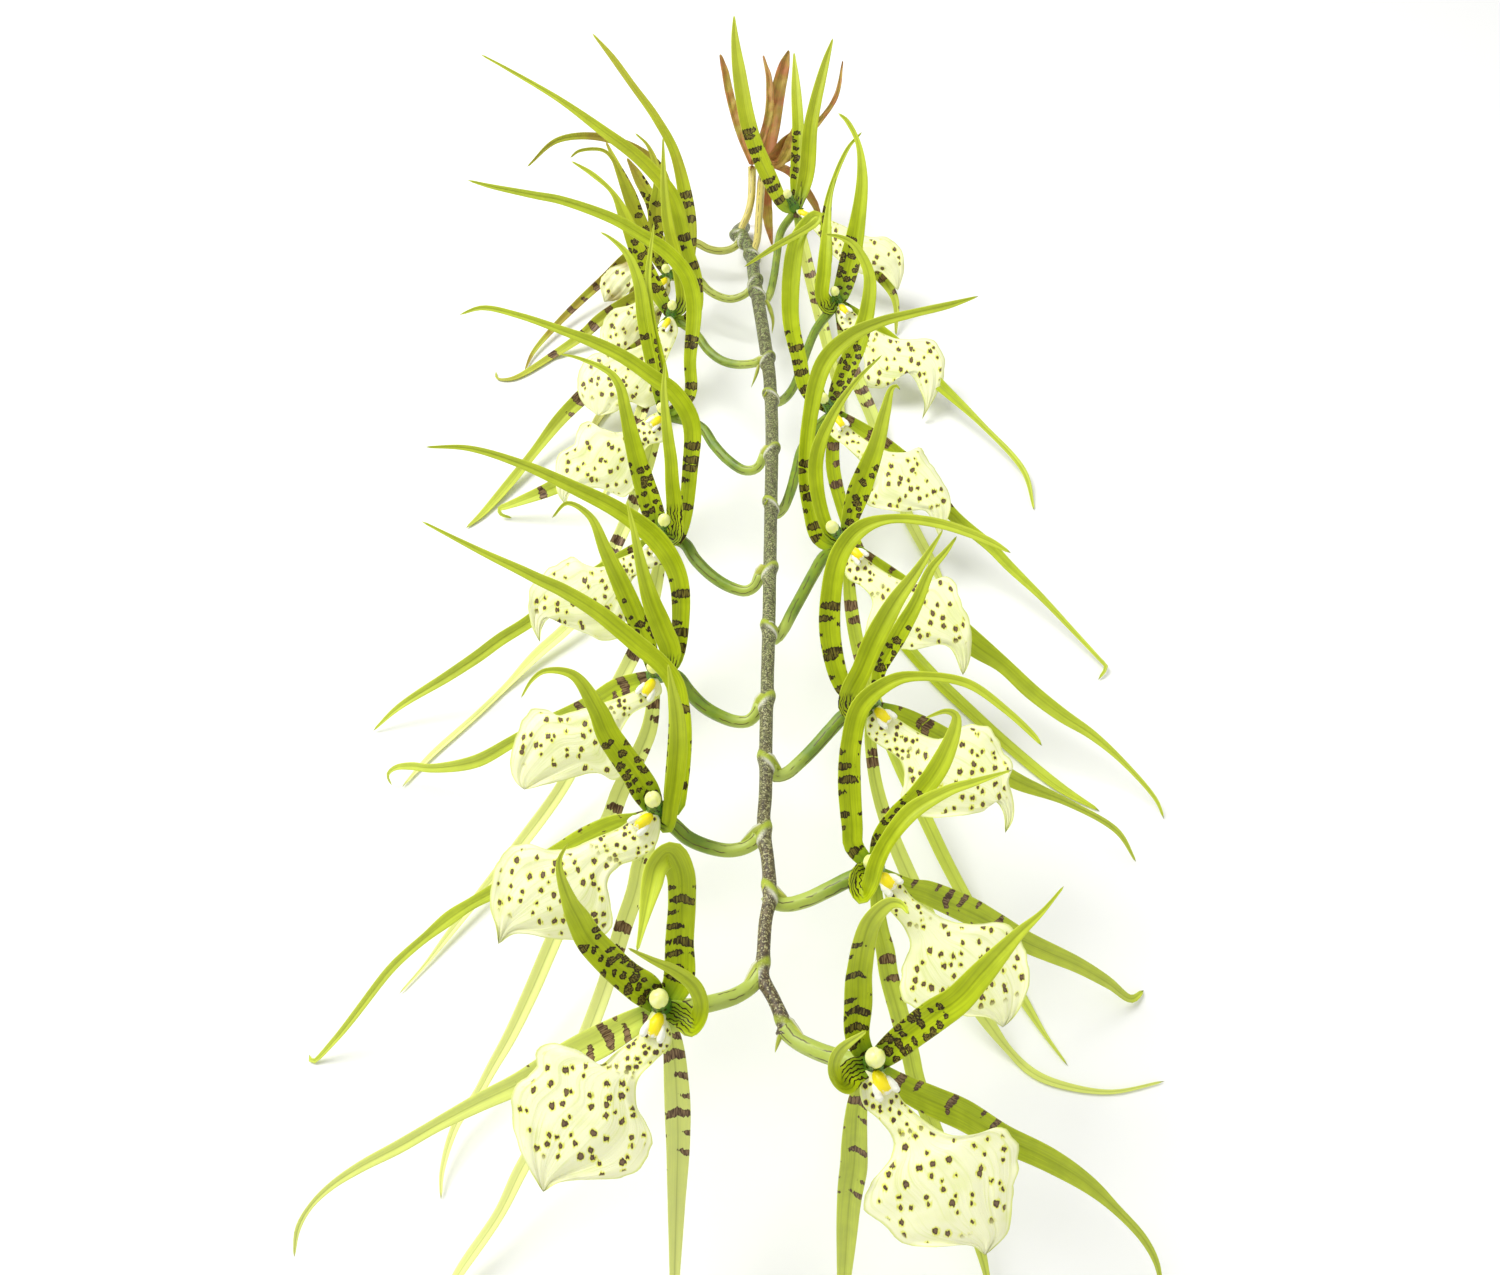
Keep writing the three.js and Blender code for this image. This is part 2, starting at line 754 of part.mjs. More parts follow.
        line: [
          [840, 297, 16], [848, 270, 21], [859, 212, 15], [862, 174, 10.5], [858, 143, 7.5],
          [847, 121, 4.5], [838, 113, 1.5],
        ],
      },
      {
        reach: 6,
        line: [
          [829, 294, 10], [825, 280, 12], [826, 242, 10.5], [829, 204, 7], [835, 176, 1.5],
        ],
      },
    ],
    laterals: [
      {
        reach: SURFACE,
        line: [
          [870, 326, 16], [910, 359, 16], [949, 394, 10.5], [982, 425, 10], [1024, 472, 8], [1034, 510, 2],
        ],
      },
      {
        reach: SURFACE,
        line: [
          [846, 345, 13], [853, 370, 14], [871, 414, 14], [882, 445, 13.5], [895, 482, 13],
          [907, 516, 12.5], [932, 564, 10], [950, 602, 2],
        ],
      },
    ],
  },
  right_7: {
    heart: [796, 210], cap: [788, 195], depth: 715, node: [760, 294],
    stalk: [[764, 302], [769, 296], [774, 276], [777, 255], [781, 232]],
    lip: {
      reach: 8,
      upper: [
        [812, 213], [835, 222], [870, 237], [886, 237], [901, 250], [904, 270], [898, 291],
      ],
      lower: [
        [806, 222], [822, 240], [836, 258], [866, 275], [878, 271], [898, 291],
      ],
    },
    dorsal: {
      reach: 10,
      line: [
        [785, 206, 12], [769, 177, 16], [754, 143, 16], [746, 114, 16], [739, 72, 13.5], [735, 40, 8],
        [734, 15, 1.5],
      ],
    },
    petals: [
      { reach: 16, line: [[806, 176, 15.5], [811, 124, 14], [825, 64, 8], [833, 38, 1.5]] },
      { reach: 4, line: [[796, 180, 12], [798, 131, 12], [796, 89, 8.5], [794, 52, 1.5]] },
    ],
    laterals: [
      { reach: SURFACE, line: [[825, 229, 15], [863, 258, 15], [894, 297, 8], [896, 335, 2]] },
      {
        reach: SURFACE,
        line: [
          [803, 245, 11], [814, 292, 12.5], [826, 340, 12], [838, 390, 9], [846, 440, 2],
        ],
      },
    ],
  },
  withered_1: {
    heart: [752, 165], depth: 742, node: [739, 236],
    stalk: [[742, 227], [748, 213], [751, 200], [752, 183]],
    dorsal: { reach: 8, line: [[741, 136, 7.5], [731, 100, 8.5], [724, 68, 6.5], [720, 54, 2]] },
    petals: [
      { reach: -6, line: [[768, 118, 8.5], [769, 80, 6.5], [763, 55, 1.5]] },
    ],
    laterals: [
      {
        reach: SURFACE,
        line: [[749, 178, 6], [746, 192, 7], [744, 206, 6.5], [742, 219, 5], [740, 230, 2]],
      },
    ],
  },
  withered_2: {
    heart: [767, 163], depth: 752, node: [752, 257],
    stalk: [[757, 240], [759, 216], [760.5, 195], [762, 178]],
    dorsal: { reach: 6, line: [[774, 132, 12.5], [780, 96, 11], [786, 64, 7], [789, 52, 2]] },
    petals: [
      { reach: -10, line: [[790, 152, 8], [814, 133, 6], [821, 121, 5], [836, 96, 5], [843, 60, 1.5]] },
      { reach: 2, line: [[778, 164, 8], [791, 143, 12], [796, 122, 2]] },
    ],
    laterals: [
      { reach: SURFACE, line: [[768, 174, 9], [766, 187, 11], [768, 220, 9.5], [772, 245, 2]] },
      { reach: SURFACE, line: [[790, 172, 8], [815, 205, 7], [820, 222, 2]] },
    ],
  },
};

// ---- Solids ----

// A closed skin over rings that all have the same number of points, flat at both ends.
function loft(rings) {
  const sides = rings[0].length;
  const positions = rings.flat().flatMap((point) => point.toArray());
  const index = [];
  for (let ring = 0; ring < rings.length - 1; ring += 1) {
    for (let side = 0; side < sides; side += 1) {
      const a = ring * sides + side;
      const b = ring * sides + ((side + 1) % sides);
      index.push(a, b + sides, b, a, a + sides, b + sides);
    }
  }
  const last = (rings.length - 1) * sides;
  for (let side = 1; side < sides - 1; side += 1) {
    index.push(0, side, side + 1);
    index.push(last, last + side + 1, last + side);
  }
  const geometry = new THREE.BufferGeometry();
  geometry.setAttribute('position', new THREE.Float32BufferAttribute(positions, 3));
  geometry.setIndex(enclosedVolume(rings.flat(), index) < 0 ? index.reverse() : index);
  return geometry;
}

function enclosedVolume(points, index) {
  let volume = 0;
  for (let i = 0; i < index.length; i += 3) {
    const [a, b, c] = [points[index[i]], points[index[i + 1]], points[index[i + 2]]];
    volume += a.dot(new THREE.Vector3().crossVectors(b, c)) / 6;
  }
  return volume;
}

function toSolid(geometry) {
  const bare = geometry.clone();
  bare.deleteAttribute('normal');
  bare.deleteAttribute('uv');
  const merged = BufferGeometryUtils.mergeVertices(bare);
  return new wasm.Manifold(new wasm.Mesh({
    numProp: 3,
    vertProperties: Float32Array.from(merged.attributes.position.array),
    triVerts: Uint32Array.from(merged.index.array),
  }));
}

// The geometry of a solid; a chip that a cut leaves loose is dropped.
function toGeometry(solid) {
  const bodies = solid.decompose().sort((a, b) => b.volume() - a.volume());
  const mesh = bodies[0].getMesh();
  const geometry = new THREE.BufferGeometry();
  geometry.setAttribute('position', new THREE.Float32BufferAttribute(mesh.vertProperties, 3));
  geometry.setIndex(Array.from(mesh.triVerts));
  return geometry;
}

function tangentAt(points, i) {
  const before = points[Math.max(i - 1, 0)];
  const after = points[Math.min(i + 1, points.length - 1)];
  return after.clone().sub(before).normalize();
}

// The way a blade's face looks: at the station point, or straight up where it lies on the surface.
function faceNormal(point, tangent, previous) {
  const lying = THREE.MathUtils.clamp(1 - point.z / FLATTENING_HEIGHT, 0, 1);
  const wanted = station.clone().sub(point).normalize().lerp(new THREE.Vector3(0, 0, 1), lying);
  if (previous) {
    wanted.addScaledVector(previous, TURNING);
  }
  return wanted.addScaledVector(tangent, -wanted.dot(tangent)).normalize();
}

// A blade along 3-D points: a four-sided section of the given widths, thinning toward its edges.
function blade(points, widths, thickness) {
  let normal = null;
  const rings = points.map((point, i) => {
    const tangent = tangentAt(points, i);
    normal = faceNormal(point, tangent, normal);
    const across = new THREE.Vector3().crossVectors(tangent, normal);
    const halfWidth = widths[i] / 2;
    const thin = i / (points.length - 1) > THIN_END.from;
    const halfThickness = (thickness / 2) * (thin ? THIN_END.share : 1);
    const corners = [[1, 0], [0, 1], [-1, 0], [0, -1]];
    return corners.map(([side, face]) => {
      const corner = point.clone()
        .addScaledVector(across, side * halfWidth)
        .addScaledVector(normal, face * halfThickness);
      corner.z = Math.max(corner.z, 0);
      return corner;
    });
  });
  return toSolid(loft(rings));
}

// A round stem along 3-D points.
function roundStem(points, radiusAt, sides) {
  let normal = null;
  const rings = points.map((point, i) => {
    const tangent = tangentAt(points, i);
    normal = faceNormal(point, tangent, normal);
    const across = new THREE.Vector3().crossVectors(tangent, normal);
    const radius = radiusAt(i, point);
    return Array.from({ length: sides }, (_, side) => {
      const angle = (2 * Math.PI * side) / sides;
      return point.clone()
        .addScaledVector(across, radius * Math.cos(angle))
        .addScaledVector(normal, radius * Math.sin(angle));
    });
  });
  return toSolid(loft(rings));
}

// ---- Midlines in space ----

// A curve through points on the sheet. Its third coordinate is the width there.
function sheetCurve(points) {
  const knots = points.map(([x, y, width = 0]) => new THREE.Vector3(x, y, width));
  return new THREE.CatmullRomCurve3(knots, false, 'centripetal');
}

function flowerDepth(flower) {
  return flower.depth ?? heartDepth(flower.heart);
}

// Points along a tepal's midline, with its widths. It starts at the heart, raised by the lift of its kind,
// bows away in the middle and ends at its reach.
function midline(flower, organ, kind) {
  const stations = STATIONS[kind];
  const clearance = TEPAL_THICKNESS / 2;
  const curve = sheetCurve([[...flower.heart, FOOT_WIDTH * organ.line[0][2]], ...organ.line]);
  const tip = organ.line.at(-1);
  const start = flowerDepth(flower) - LIFT[kind];
  const end = organ.reach === SURFACE
    ? (STATION_HEIGHT - clearance) / -sightLine(tip).z
    : flowerDepth(flower) - organ.reach;
  const steps = Array.from({ length: stations }, (_, i) => i / (stations - 1));
  const spots = steps.map((t) => curve.getPointAt(t));
  const points = spots.map(({ x, y }, i) => {
    const away = THREE.MathUtils.lerp(start, end, steps[i] ** DROOP);
    return place([x, y], away + BOW[kind] * Math.sin(Math.PI * steps[i]), clearance);
  });
  const widths = spots.map((spot, i) => {
    const depth = points[i].clone().sub(station).dot(forward);
    return Math.max(NARROWEST, TEPAL_FULLNESS * spot.z * (depth / SHEET.distance));
  });
  return { points, widths };
}

// How wide a bract is, as pairs of place along it and share of its full width.
const BRACT_OUTLINE = [[0, 0.8], [0.5, 1], [1, 0.15]];

// ---- The organs ----

function column(flower, grow) {
  const foot = place(flower.heart, flowerDepth(flower), 0);
  const capAt = flower.cap ?? [flower.heart[0] - 2, flower.heart[1] - 7];
  const top = place(capAt, flowerDepth(flower) - COLUMN.length, 0);
  const { radius, capRadius } = COLUMN;
  const profile = [
    [0, radius], [0.35, radius], [0.6, radius], [0.8, capRadius], [1, capRadius], [1.15, 0.5 * capRadius],
  ];
  const points = profile.map(([t]) => foot.clone().lerp(top, t));
  return roundStem(points, (i) => profile[i][1] + grow, SIDES.round);
}

// The five tepals with the column; grown by a clearance, it cuts the pieces that touch it.
function perianth(flower, grow) {
  const heart = new THREE.IcosahedronGeometry(HEART_RADIUS + grow, 1);
  const centre = place(flower.heart, flowerDepth(flower), 0);
  heart.translate(...centre.toArray());
  const tepal = (organ, kind) => {
    const { points, widths } = midline(flower, organ, kind);
    return blade(points, widths.map((width) => width + 2 * grow), TEPAL_THICKNESS + 2 * grow);
  };
  const blades = [
    tepal(flower.dorsal, 'dorsal'),
    ...flower.petals.map((petal) => tepal(petal, 'petal')),
    ...flower.laterals.map((sepal) => tepal(sepal, 'lateral')),
  ];
  return blades.reduce((joined, one) => joined.add(one), toSolid(heart).add(column(flower, grow)));
}

// An edge of the lip, on the sheet: from a narrow root in the heart along the neck and round to the tip.
function lipEdge(flower, side) {
  const [upperNeck, lowerNeck] = [flower.lip.upper[0], flower.lip.lower[0]];
  const neck = flower.lip[side][0];
  const root = flower.heart.map((value, axis) => (
    value + LIP_ROOT * (neck[axis] - (upperNeck[axis] + lowerNeck[axis]) / 2)));
  return sheetCurve([root, ...flower.lip[side]]);
}

// The lip is stretched between its two edges. Its middle stands proud of them, toward the station point.
function lip(flower) {
  const edges = ['upper', 'lower'].map((side) => lipEdge(flower, side));
  const clearance = LIP_THICKNESS / 2;
  const rings = Array.from({ length: STATIONS.lip }, (_, i) => {
    const t = LIP_END * (i / (STATIONS.lip - 1));
    const [upper, lower] = edges.map((edge) => edge.getPointAt(t));
    const middle = upper.clone().lerp(lower, 0.5);
    const start = flowerDepth(flower) - LIFT.lip;
    const depth = start - flower.lip.reach * t ** DROOP + BOW.lip * Math.sin(Math.PI * t);
    const curl = LIP_CURL * upper.distanceTo(lower) * (depth / SHEET.distance);
    return [
      place([upper.x, upper.y], depth + curl, clearance),
      place([middle.x, middle.y], depth - clearance, clearance),
      place([lower.x, lower.y], depth + curl, clearance),
      place([middle.x, middle.y], depth + clearance, clearance),
    ];
  });
  return toSolid(loft(rings)).subtract(perianth(flower, GAP));
}

function rachisDepth([, y]) {
  const [topY, tipY] = [RACHIS_LINE.at(-1)[1], RACHIS_LINE[0][1]];
  const towardTip = THREE.MathUtils.clamp((y - topY) / (tipY - topY), 0, 1);
  return heartDepth([0, y]) + THREE.MathUtils.lerp(RACHIS_BEHIND.cut, RACHIS_BEHIND.tip, towardTip);
}

function rachis(grow) {
  const nodes = Object.values(FLOWERS).map(({ node }) => place(node, rachisDepth(node), 0));
  const line = RACHIS_LINE.map((point) => place(point, rachisDepth(point), 0));
  line.push(place(CUT_END, Infinity, RACHIS_RADIUS.cut + 0.4));
  const points = new THREE.CatmullRomCurve3(line, false, 'centripetal').getSpacedPoints(STATIONS.rachis);
  const radiusAt = (i, point) => {
    const plain = THREE.MathUtils.lerp(RACHIS_RADIUS.tip, RACHIS_RADIUS.cut, i / STATIONS.rachis);
    const nearest = Math.min(...nodes.map((node) => node.distanceTo(point)));
    return plain * (1 + (NODE_SWELLING - 1) * Math.max(0, 1 - nearest / NODE_LENGTH)) + grow;
  };
  return roundStem(points, radiusAt, SIDES.rachis);
}

// The stem with the bract below each stalk; grown by a clearance, it cuts the stalks.
function rachisWithBracts(grow) {
  return Object.values(FLOWERS).reduce((joined, flower) => joined.add(bract(flower, grow)), rachis(grow));
}

function bract(flower, grow) {
  const foot = place(flower.node, rachisDepth(flower.node), 0);
  const along = stalkMidline(flower)[2].sub(foot).normalize();
  const behind = foot.clone().sub(station).normalize();
  const points = BRACT_OUTLINE.map(([t]) => foot.clone()
    .addScaledVector(along, BRACT.length * t)
    .addScaledVector(behind, BRACT.behind * Math.min(1, 2 * t)));
  const widths = BRACT_OUTLINE.map(([, share]) => BRACT.width * share + 2 * grow);
  return blade(points, widths, BRACT.thickness + 2 * grow);
}

// The pedicel leaves the stem, passes behind the tepals and meets the heart from behind.
function stalkMidline(flower) {
  const curve = sheetCurve([flower.node, ...flower.stalk, flower.heart]);
  return Array.from({ length: STATIONS.stalk }, (_, i) => {
    const t = i / (STATIONS.stalk - 1);
    const onSheet = curve.getPointAt(t);
    const level = THREE.MathUtils.lerp(rachisDepth(flower.node), flowerDepth(flower) + STALK.behind, t);
    const hook = (STALK.behind / 2) * Math.max(0, (t - STALK.hooksAt) / (1 - STALK.hooksAt)) ** 2;
    return place([onSheet.x, onSheet.y], level - hook, STALK.radius);
  });
}

function stalk(flower) {
  const radiusAt = (i) => THREE.MathUtils.lerp(STALK.radius, STALK.ovaryRadius, i / (STATIONS.stalk - 1));
  const whole = roundStem(stalkMidline(flower), radiusAt, SIDES.round);
  return whole.subtract(stalkCutter).subtract(perianth(flower, GAP));
}

// ---- The spray ----

const MATERIALS = {
  stem: new THREE.MeshStandardMaterial({ color: 0x6f7a45, roughness: 0.55, metalness: 0 }),
  stalk: new THREE.MeshStandardMaterial({ color: 0x93a83c, roughness: 0.5, metalness: 0 }),
  tepal: new THREE.MeshStandardMaterial({ color: 0xb4c23a, roughness: 0.42, metalness: 0 }),
  lip: new THREE.MeshStandardMaterial({ color: 0xf3f2cf, roughness: 0.5, metalness: 0 }),
  withered: new THREE.MeshStandardMaterial({ color: 0xb9814f, roughness: 0.7, metalness: 0 }),
};

const spray = new THREE.Group();

function addPiece(name, solid, material) {
  const mesh = new THREE.Mesh(toGeometry(solid), material.clone());
  mesh.name = name;
  spray.add(mesh);
}

const stalkCutter = rachisWithBracts(GAP);
addPiece('rachis', rachisWithBracts(0), MATERIALS.stem);
for (const [name, flower] of Object.entries(FLOWERS)) {
  const tepalMaterial = flower.lip ? MATERIALS.tepal : MATERIALS.withered;
  addPiece(`${name}_stalk`, stalk(flower), MATERIALS.stalk);
  addPiece(`${name}_tepals`, perianth(flower, 0), tepalMaterial);
  if (flower.lip) {
    addPiece(`${name}_lip`, lip(flower), MATERIALS.lip);
  }
}

export default spray;
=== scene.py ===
"""A cut flowering spray of the spider orchid Brassia, lying on a pale studio floor. Metres, +Z up.

The spray is laid out as it is seen from one station point above its growing tip, on a sheet held in front of
that point. Each organ is then carried back along its sight lines to its depth.
"""

import math
import bmesh
import bpy
from bpy.props import FloatProperty, FloatVectorProperty, PointerProperty
from bpy.types import Operator, Panel, PropertyGroup
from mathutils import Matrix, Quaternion, Vector, noise


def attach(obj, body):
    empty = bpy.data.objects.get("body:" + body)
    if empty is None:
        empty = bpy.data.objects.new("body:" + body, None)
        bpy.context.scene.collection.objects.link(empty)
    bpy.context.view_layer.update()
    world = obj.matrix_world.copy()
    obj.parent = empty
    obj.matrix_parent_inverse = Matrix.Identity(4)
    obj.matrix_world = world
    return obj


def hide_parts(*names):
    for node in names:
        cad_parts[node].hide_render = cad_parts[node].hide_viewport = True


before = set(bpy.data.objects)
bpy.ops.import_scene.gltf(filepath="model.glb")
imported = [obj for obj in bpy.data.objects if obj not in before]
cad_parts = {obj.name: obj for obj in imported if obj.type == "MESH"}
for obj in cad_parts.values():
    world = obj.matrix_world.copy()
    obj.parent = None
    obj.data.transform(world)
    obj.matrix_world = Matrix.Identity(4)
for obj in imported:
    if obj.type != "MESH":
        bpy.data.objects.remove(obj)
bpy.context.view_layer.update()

bl_info = {
    "name": "Brassia orchid spray",
    "version": (1, 0, 0),
    "blender": (4, 5, 0),
    "location": "3D View > Sidebar > Orchid",
    "description": "Builds a cut flowering spray of a spider orchid, piece by piece",
    "category": "Add Mesh",
}

MM = 0.001
BODY = "root"


# ---- Sizes and colours that a user would change ----

def length(name, description, default):
    return FloatProperty(
        name=name, description=description, default=default, min=0.0, unit="LENGTH", precision=5,
    )


def share(name, description, default):
    return FloatProperty(
        name=name, description=description, default=default, min=0.0, max=1.0, subtype="FACTOR",
    )


def colour(name, description, red, green, blue):
    """A colour property whose default is given as a paint chart gives it, from 0 to 255."""
    return FloatVectorProperty(
        name=name, description=description, size=4, subtype="COLOR", min=0.0, max=1.0,
        default=[*(linear(value / 255) for value in (red, green, blue)), 1.0],
    )


def linear(value):
    """A share of full brightness on a screen, as a share of its light."""
    return value / 12.92 if value <= 0.04045 else ((value + 0.055) / 1.055) ** 2.4


class OrchidSizes(PropertyGroup):
    tepal_fullness: share("Tepal fullness", "Width of the sepals and petals, against their layout", 1.0)
    tepal_thickness: length("Tepal thickness", "Thickness of a sepal or petal at its midrib", 1.2 * MM)
    tepal_fold: share("Tepal fold", "How far a tepal's edges stand forward, in its half width", 0.5)
    lip_thickness: length("Lip thickness", "Thickness of the lip at its middle", 1.0 * MM)
    lip_ruffle: length("Lip ruffle", "Height of the waves along the lip's margin", 1.3 * MM)
    stalk_radius: length("Stalk radius", "Radius of a flower stalk where it leaves the stem", 2.3 * MM)
    ovary_radius: length("Ovary radius", "Radius of a flower stalk below the flower", 2.7 * MM)
    tip_radius: length("Stem radius at the tip", "Radius of the stem at its growing tip", 1.95 * MM)
    cut_radius: length("Stem radius at the cut", "Radius of the stem at its cut end", 4.5 * MM)
    cap_radius: length("Anther cap radius", "Radius of the pale cap that ends the column", 2.7 * MM)
    callus_length: length("Callus length", "Length of the two keels at the root of the lip", 8.5 * MM)
    dorsal_bands: length("Banded length of an upper sepal", "How far from the heart its bands reach", 44 * MM)
    lateral_bands: length("Banded length of a lower sepal", "How far from the heart its bands reach", 66 * MM)
    petal_blotches: length("Blotched length of a petal", "How far from the heart its blotches reach", 36 * MM)


class OrchidColours(PropertyGroup):
    lime: colour("Lime", "Flesh of the sepals and petals", 171, 188, 8)
    lime_light: colour("Light lime", "Where the flesh catches the light", 194, 210, 26)
    lime_shade: colour("Dark lime", "Veins and folds of the flesh", 110, 126, 8)
    heart_green: colour("Heart green", "The greener foot of every tepal", 104, 144, 34)
    tail: colour("Light tail", "The lighter far end of a sepal or petal", 226, 236, 104)
    pale: colour("Pale sepal", "The lower sepal that hangs down the stem", 243, 248, 160)
    band: colour("Band edge", "The dark rim of a band or blotch", 52, 40, 12)
    band_core: colour("Band core", "The olive netting inside a blotch", 122, 112, 40)
    lateral_band: colour("Lower sepal band edge", "The rim of a band on a lower sepal", 80, 56, 38)
    lateral_core: colour("Lower sepal band core", "The inside of a band on a lower sepal", 140, 114, 80)
    cream: colour("Lip cream", "The blade of the lip", 253, 254, 206)
    lip_shade: colour("Lip shade", "The veins and margin of the lip", 220, 230, 118)
    spot: colour("Lip spot", "The dark spots on the lip", 82, 58, 42)
    halo: colour("Spot halo", "The yellow round each spot", 232, 234, 62)
    callus_white: colour("Callus white", "The sides of the callus", 252, 252, 236)
    callus_gold: colour("Callus gold", "The crest of the callus", 255, 234, 12)
    column: colour("Column", "The green column behind the cap", 76, 132, 44)
    cap: colour("Anther cap", "The smooth cream cap", 248, 253, 146)
    stalk: colour("Stalk", "The flower stalk near the flower", 108, 138, 36)
    stalk_pale: colour("Pale stalk", "The flower stalk near the stem", 180, 196, 92)
    stalk_old: colour("Old stalk", "The stalk of a withered flower", 222, 202, 114)
    stalk_line: colour("Stalk line", "The brown lines along a stalk", 84, 66, 36)
    stem_purple: colour("Stem purple", "The purple-brown of the young stem", 112, 95, 68)
    stem_green: colour("Stem green", "The grey green of the old stem", 122, 131, 76)
    stem_dark: colour("Stem freckle", "The dark freckles on the stem", 60, 48, 36)
    stem_speck: colour("Stem speck", "The pale specks on the stem", 196, 194, 140)
    node_green: colour("Node green", "The yellow-green collar at a node", 168, 184, 46)
    bract: colour("Bract", "The scale at a stalk's foot", 196, 200, 84)
    bract_edge: colour("Bract edge", "The dry pale edge of a scale", 224, 222, 204)
    withered: colour("Withered", "The dry brown of an old flower", 186, 112, 62)
    withered_green: colour("Withered green", "The green left in an old flower", 186, 164, 60)
    fading: colour("Fading", "The brown that comes over an old flower", 158, 134, 54)
    floor: colour("Floor", "The plain studio floor", 250, 250, 248)


# ---- The station point and its sheet ----

SHEET_CENTRE = Vector((750.0, 637.5))
SHEET_DISTANCE = 1100.0  # from the station point, in the sheet's own unit
SHEET_WIDTH = 1500.0
STATION = Vector((-3.0, -425.7, 415.0)) * MM
STATION_PITCH = math.radians(50)  # below the horizon
RIGHT = Vector((1.0, 0.0, 0.0))
FORWARD = Vector((0.0, math.cos(STATION_PITCH), -math.sin(STATION_PITCH)))
UP = Vector((0.0, math.sin(STATION_PITCH), math.cos(STATION_PITCH)))
HEART_PLANE_SCALE = 414.6  # a heart's depth = scale / (sheet y - horizon)
HEART_PLANE_HORIZON = -327.0
STEM_BEHIND_TIP = 16 * MM  # how far behind the hearts' depth the stem's tip lies
STEM_BEHIND_CUT = 4 * MM


def sight_line(x, y):
    sideways = (x - SHEET_CENTRE.x) / SHEET_DISTANCE
    upward = (SHEET_CENTRE.y - y) / SHEET_DISTANCE
    return FORWARD + RIGHT * sideways + UP * upward


def surface_depth(x, y, clearance):
    """How far along a sight line the surface lies, or a great way where the line doesn't meet it."""
    sight = sight_line(x, y)
    return (STATION.z - clearance) / -sight.z if sight.z < 0 else math.inf


def place(x, y, depth, clearance=0.0):
    """The point at a depth along a sight line, kept above the surface by at least the clearance."""
    return STATION + sight_line(x, y) * min(depth, surface_depth(x, y, clearance))


def heart_depth(y):
    return HEART_PLANE_SCALE / (y - HEART_PLANE_HORIZON)


# ---- The layout ----
#
# A flower has
#   heart, cap, node   the sheet points where its organs meet, of its anther cap and of its node on the stem
#   depth              how many millimetres from the station point its heart lies, if not at heart_depth
#   stalk              the points between its node and its heart
#   pale_stalk         how many times longer than usual its stalk stays pale
#   fading             how far it has turned brown, from 0 to 1
#   lip                its upper and lower edge, from the neck to the tip
#   dorsal, petals and laterals, its tepals. A line gives a tepal's midline and width, (x, y, width), outward
# A lip or tepal has
#   reach              how many millimetres its tip lies from the heart toward the station point, or SURFACE
#   arch               how many millimetres its middle stands forward
#   tone               how pale a lower sepal is, or how far a folded petal is lined, from 0 to 1

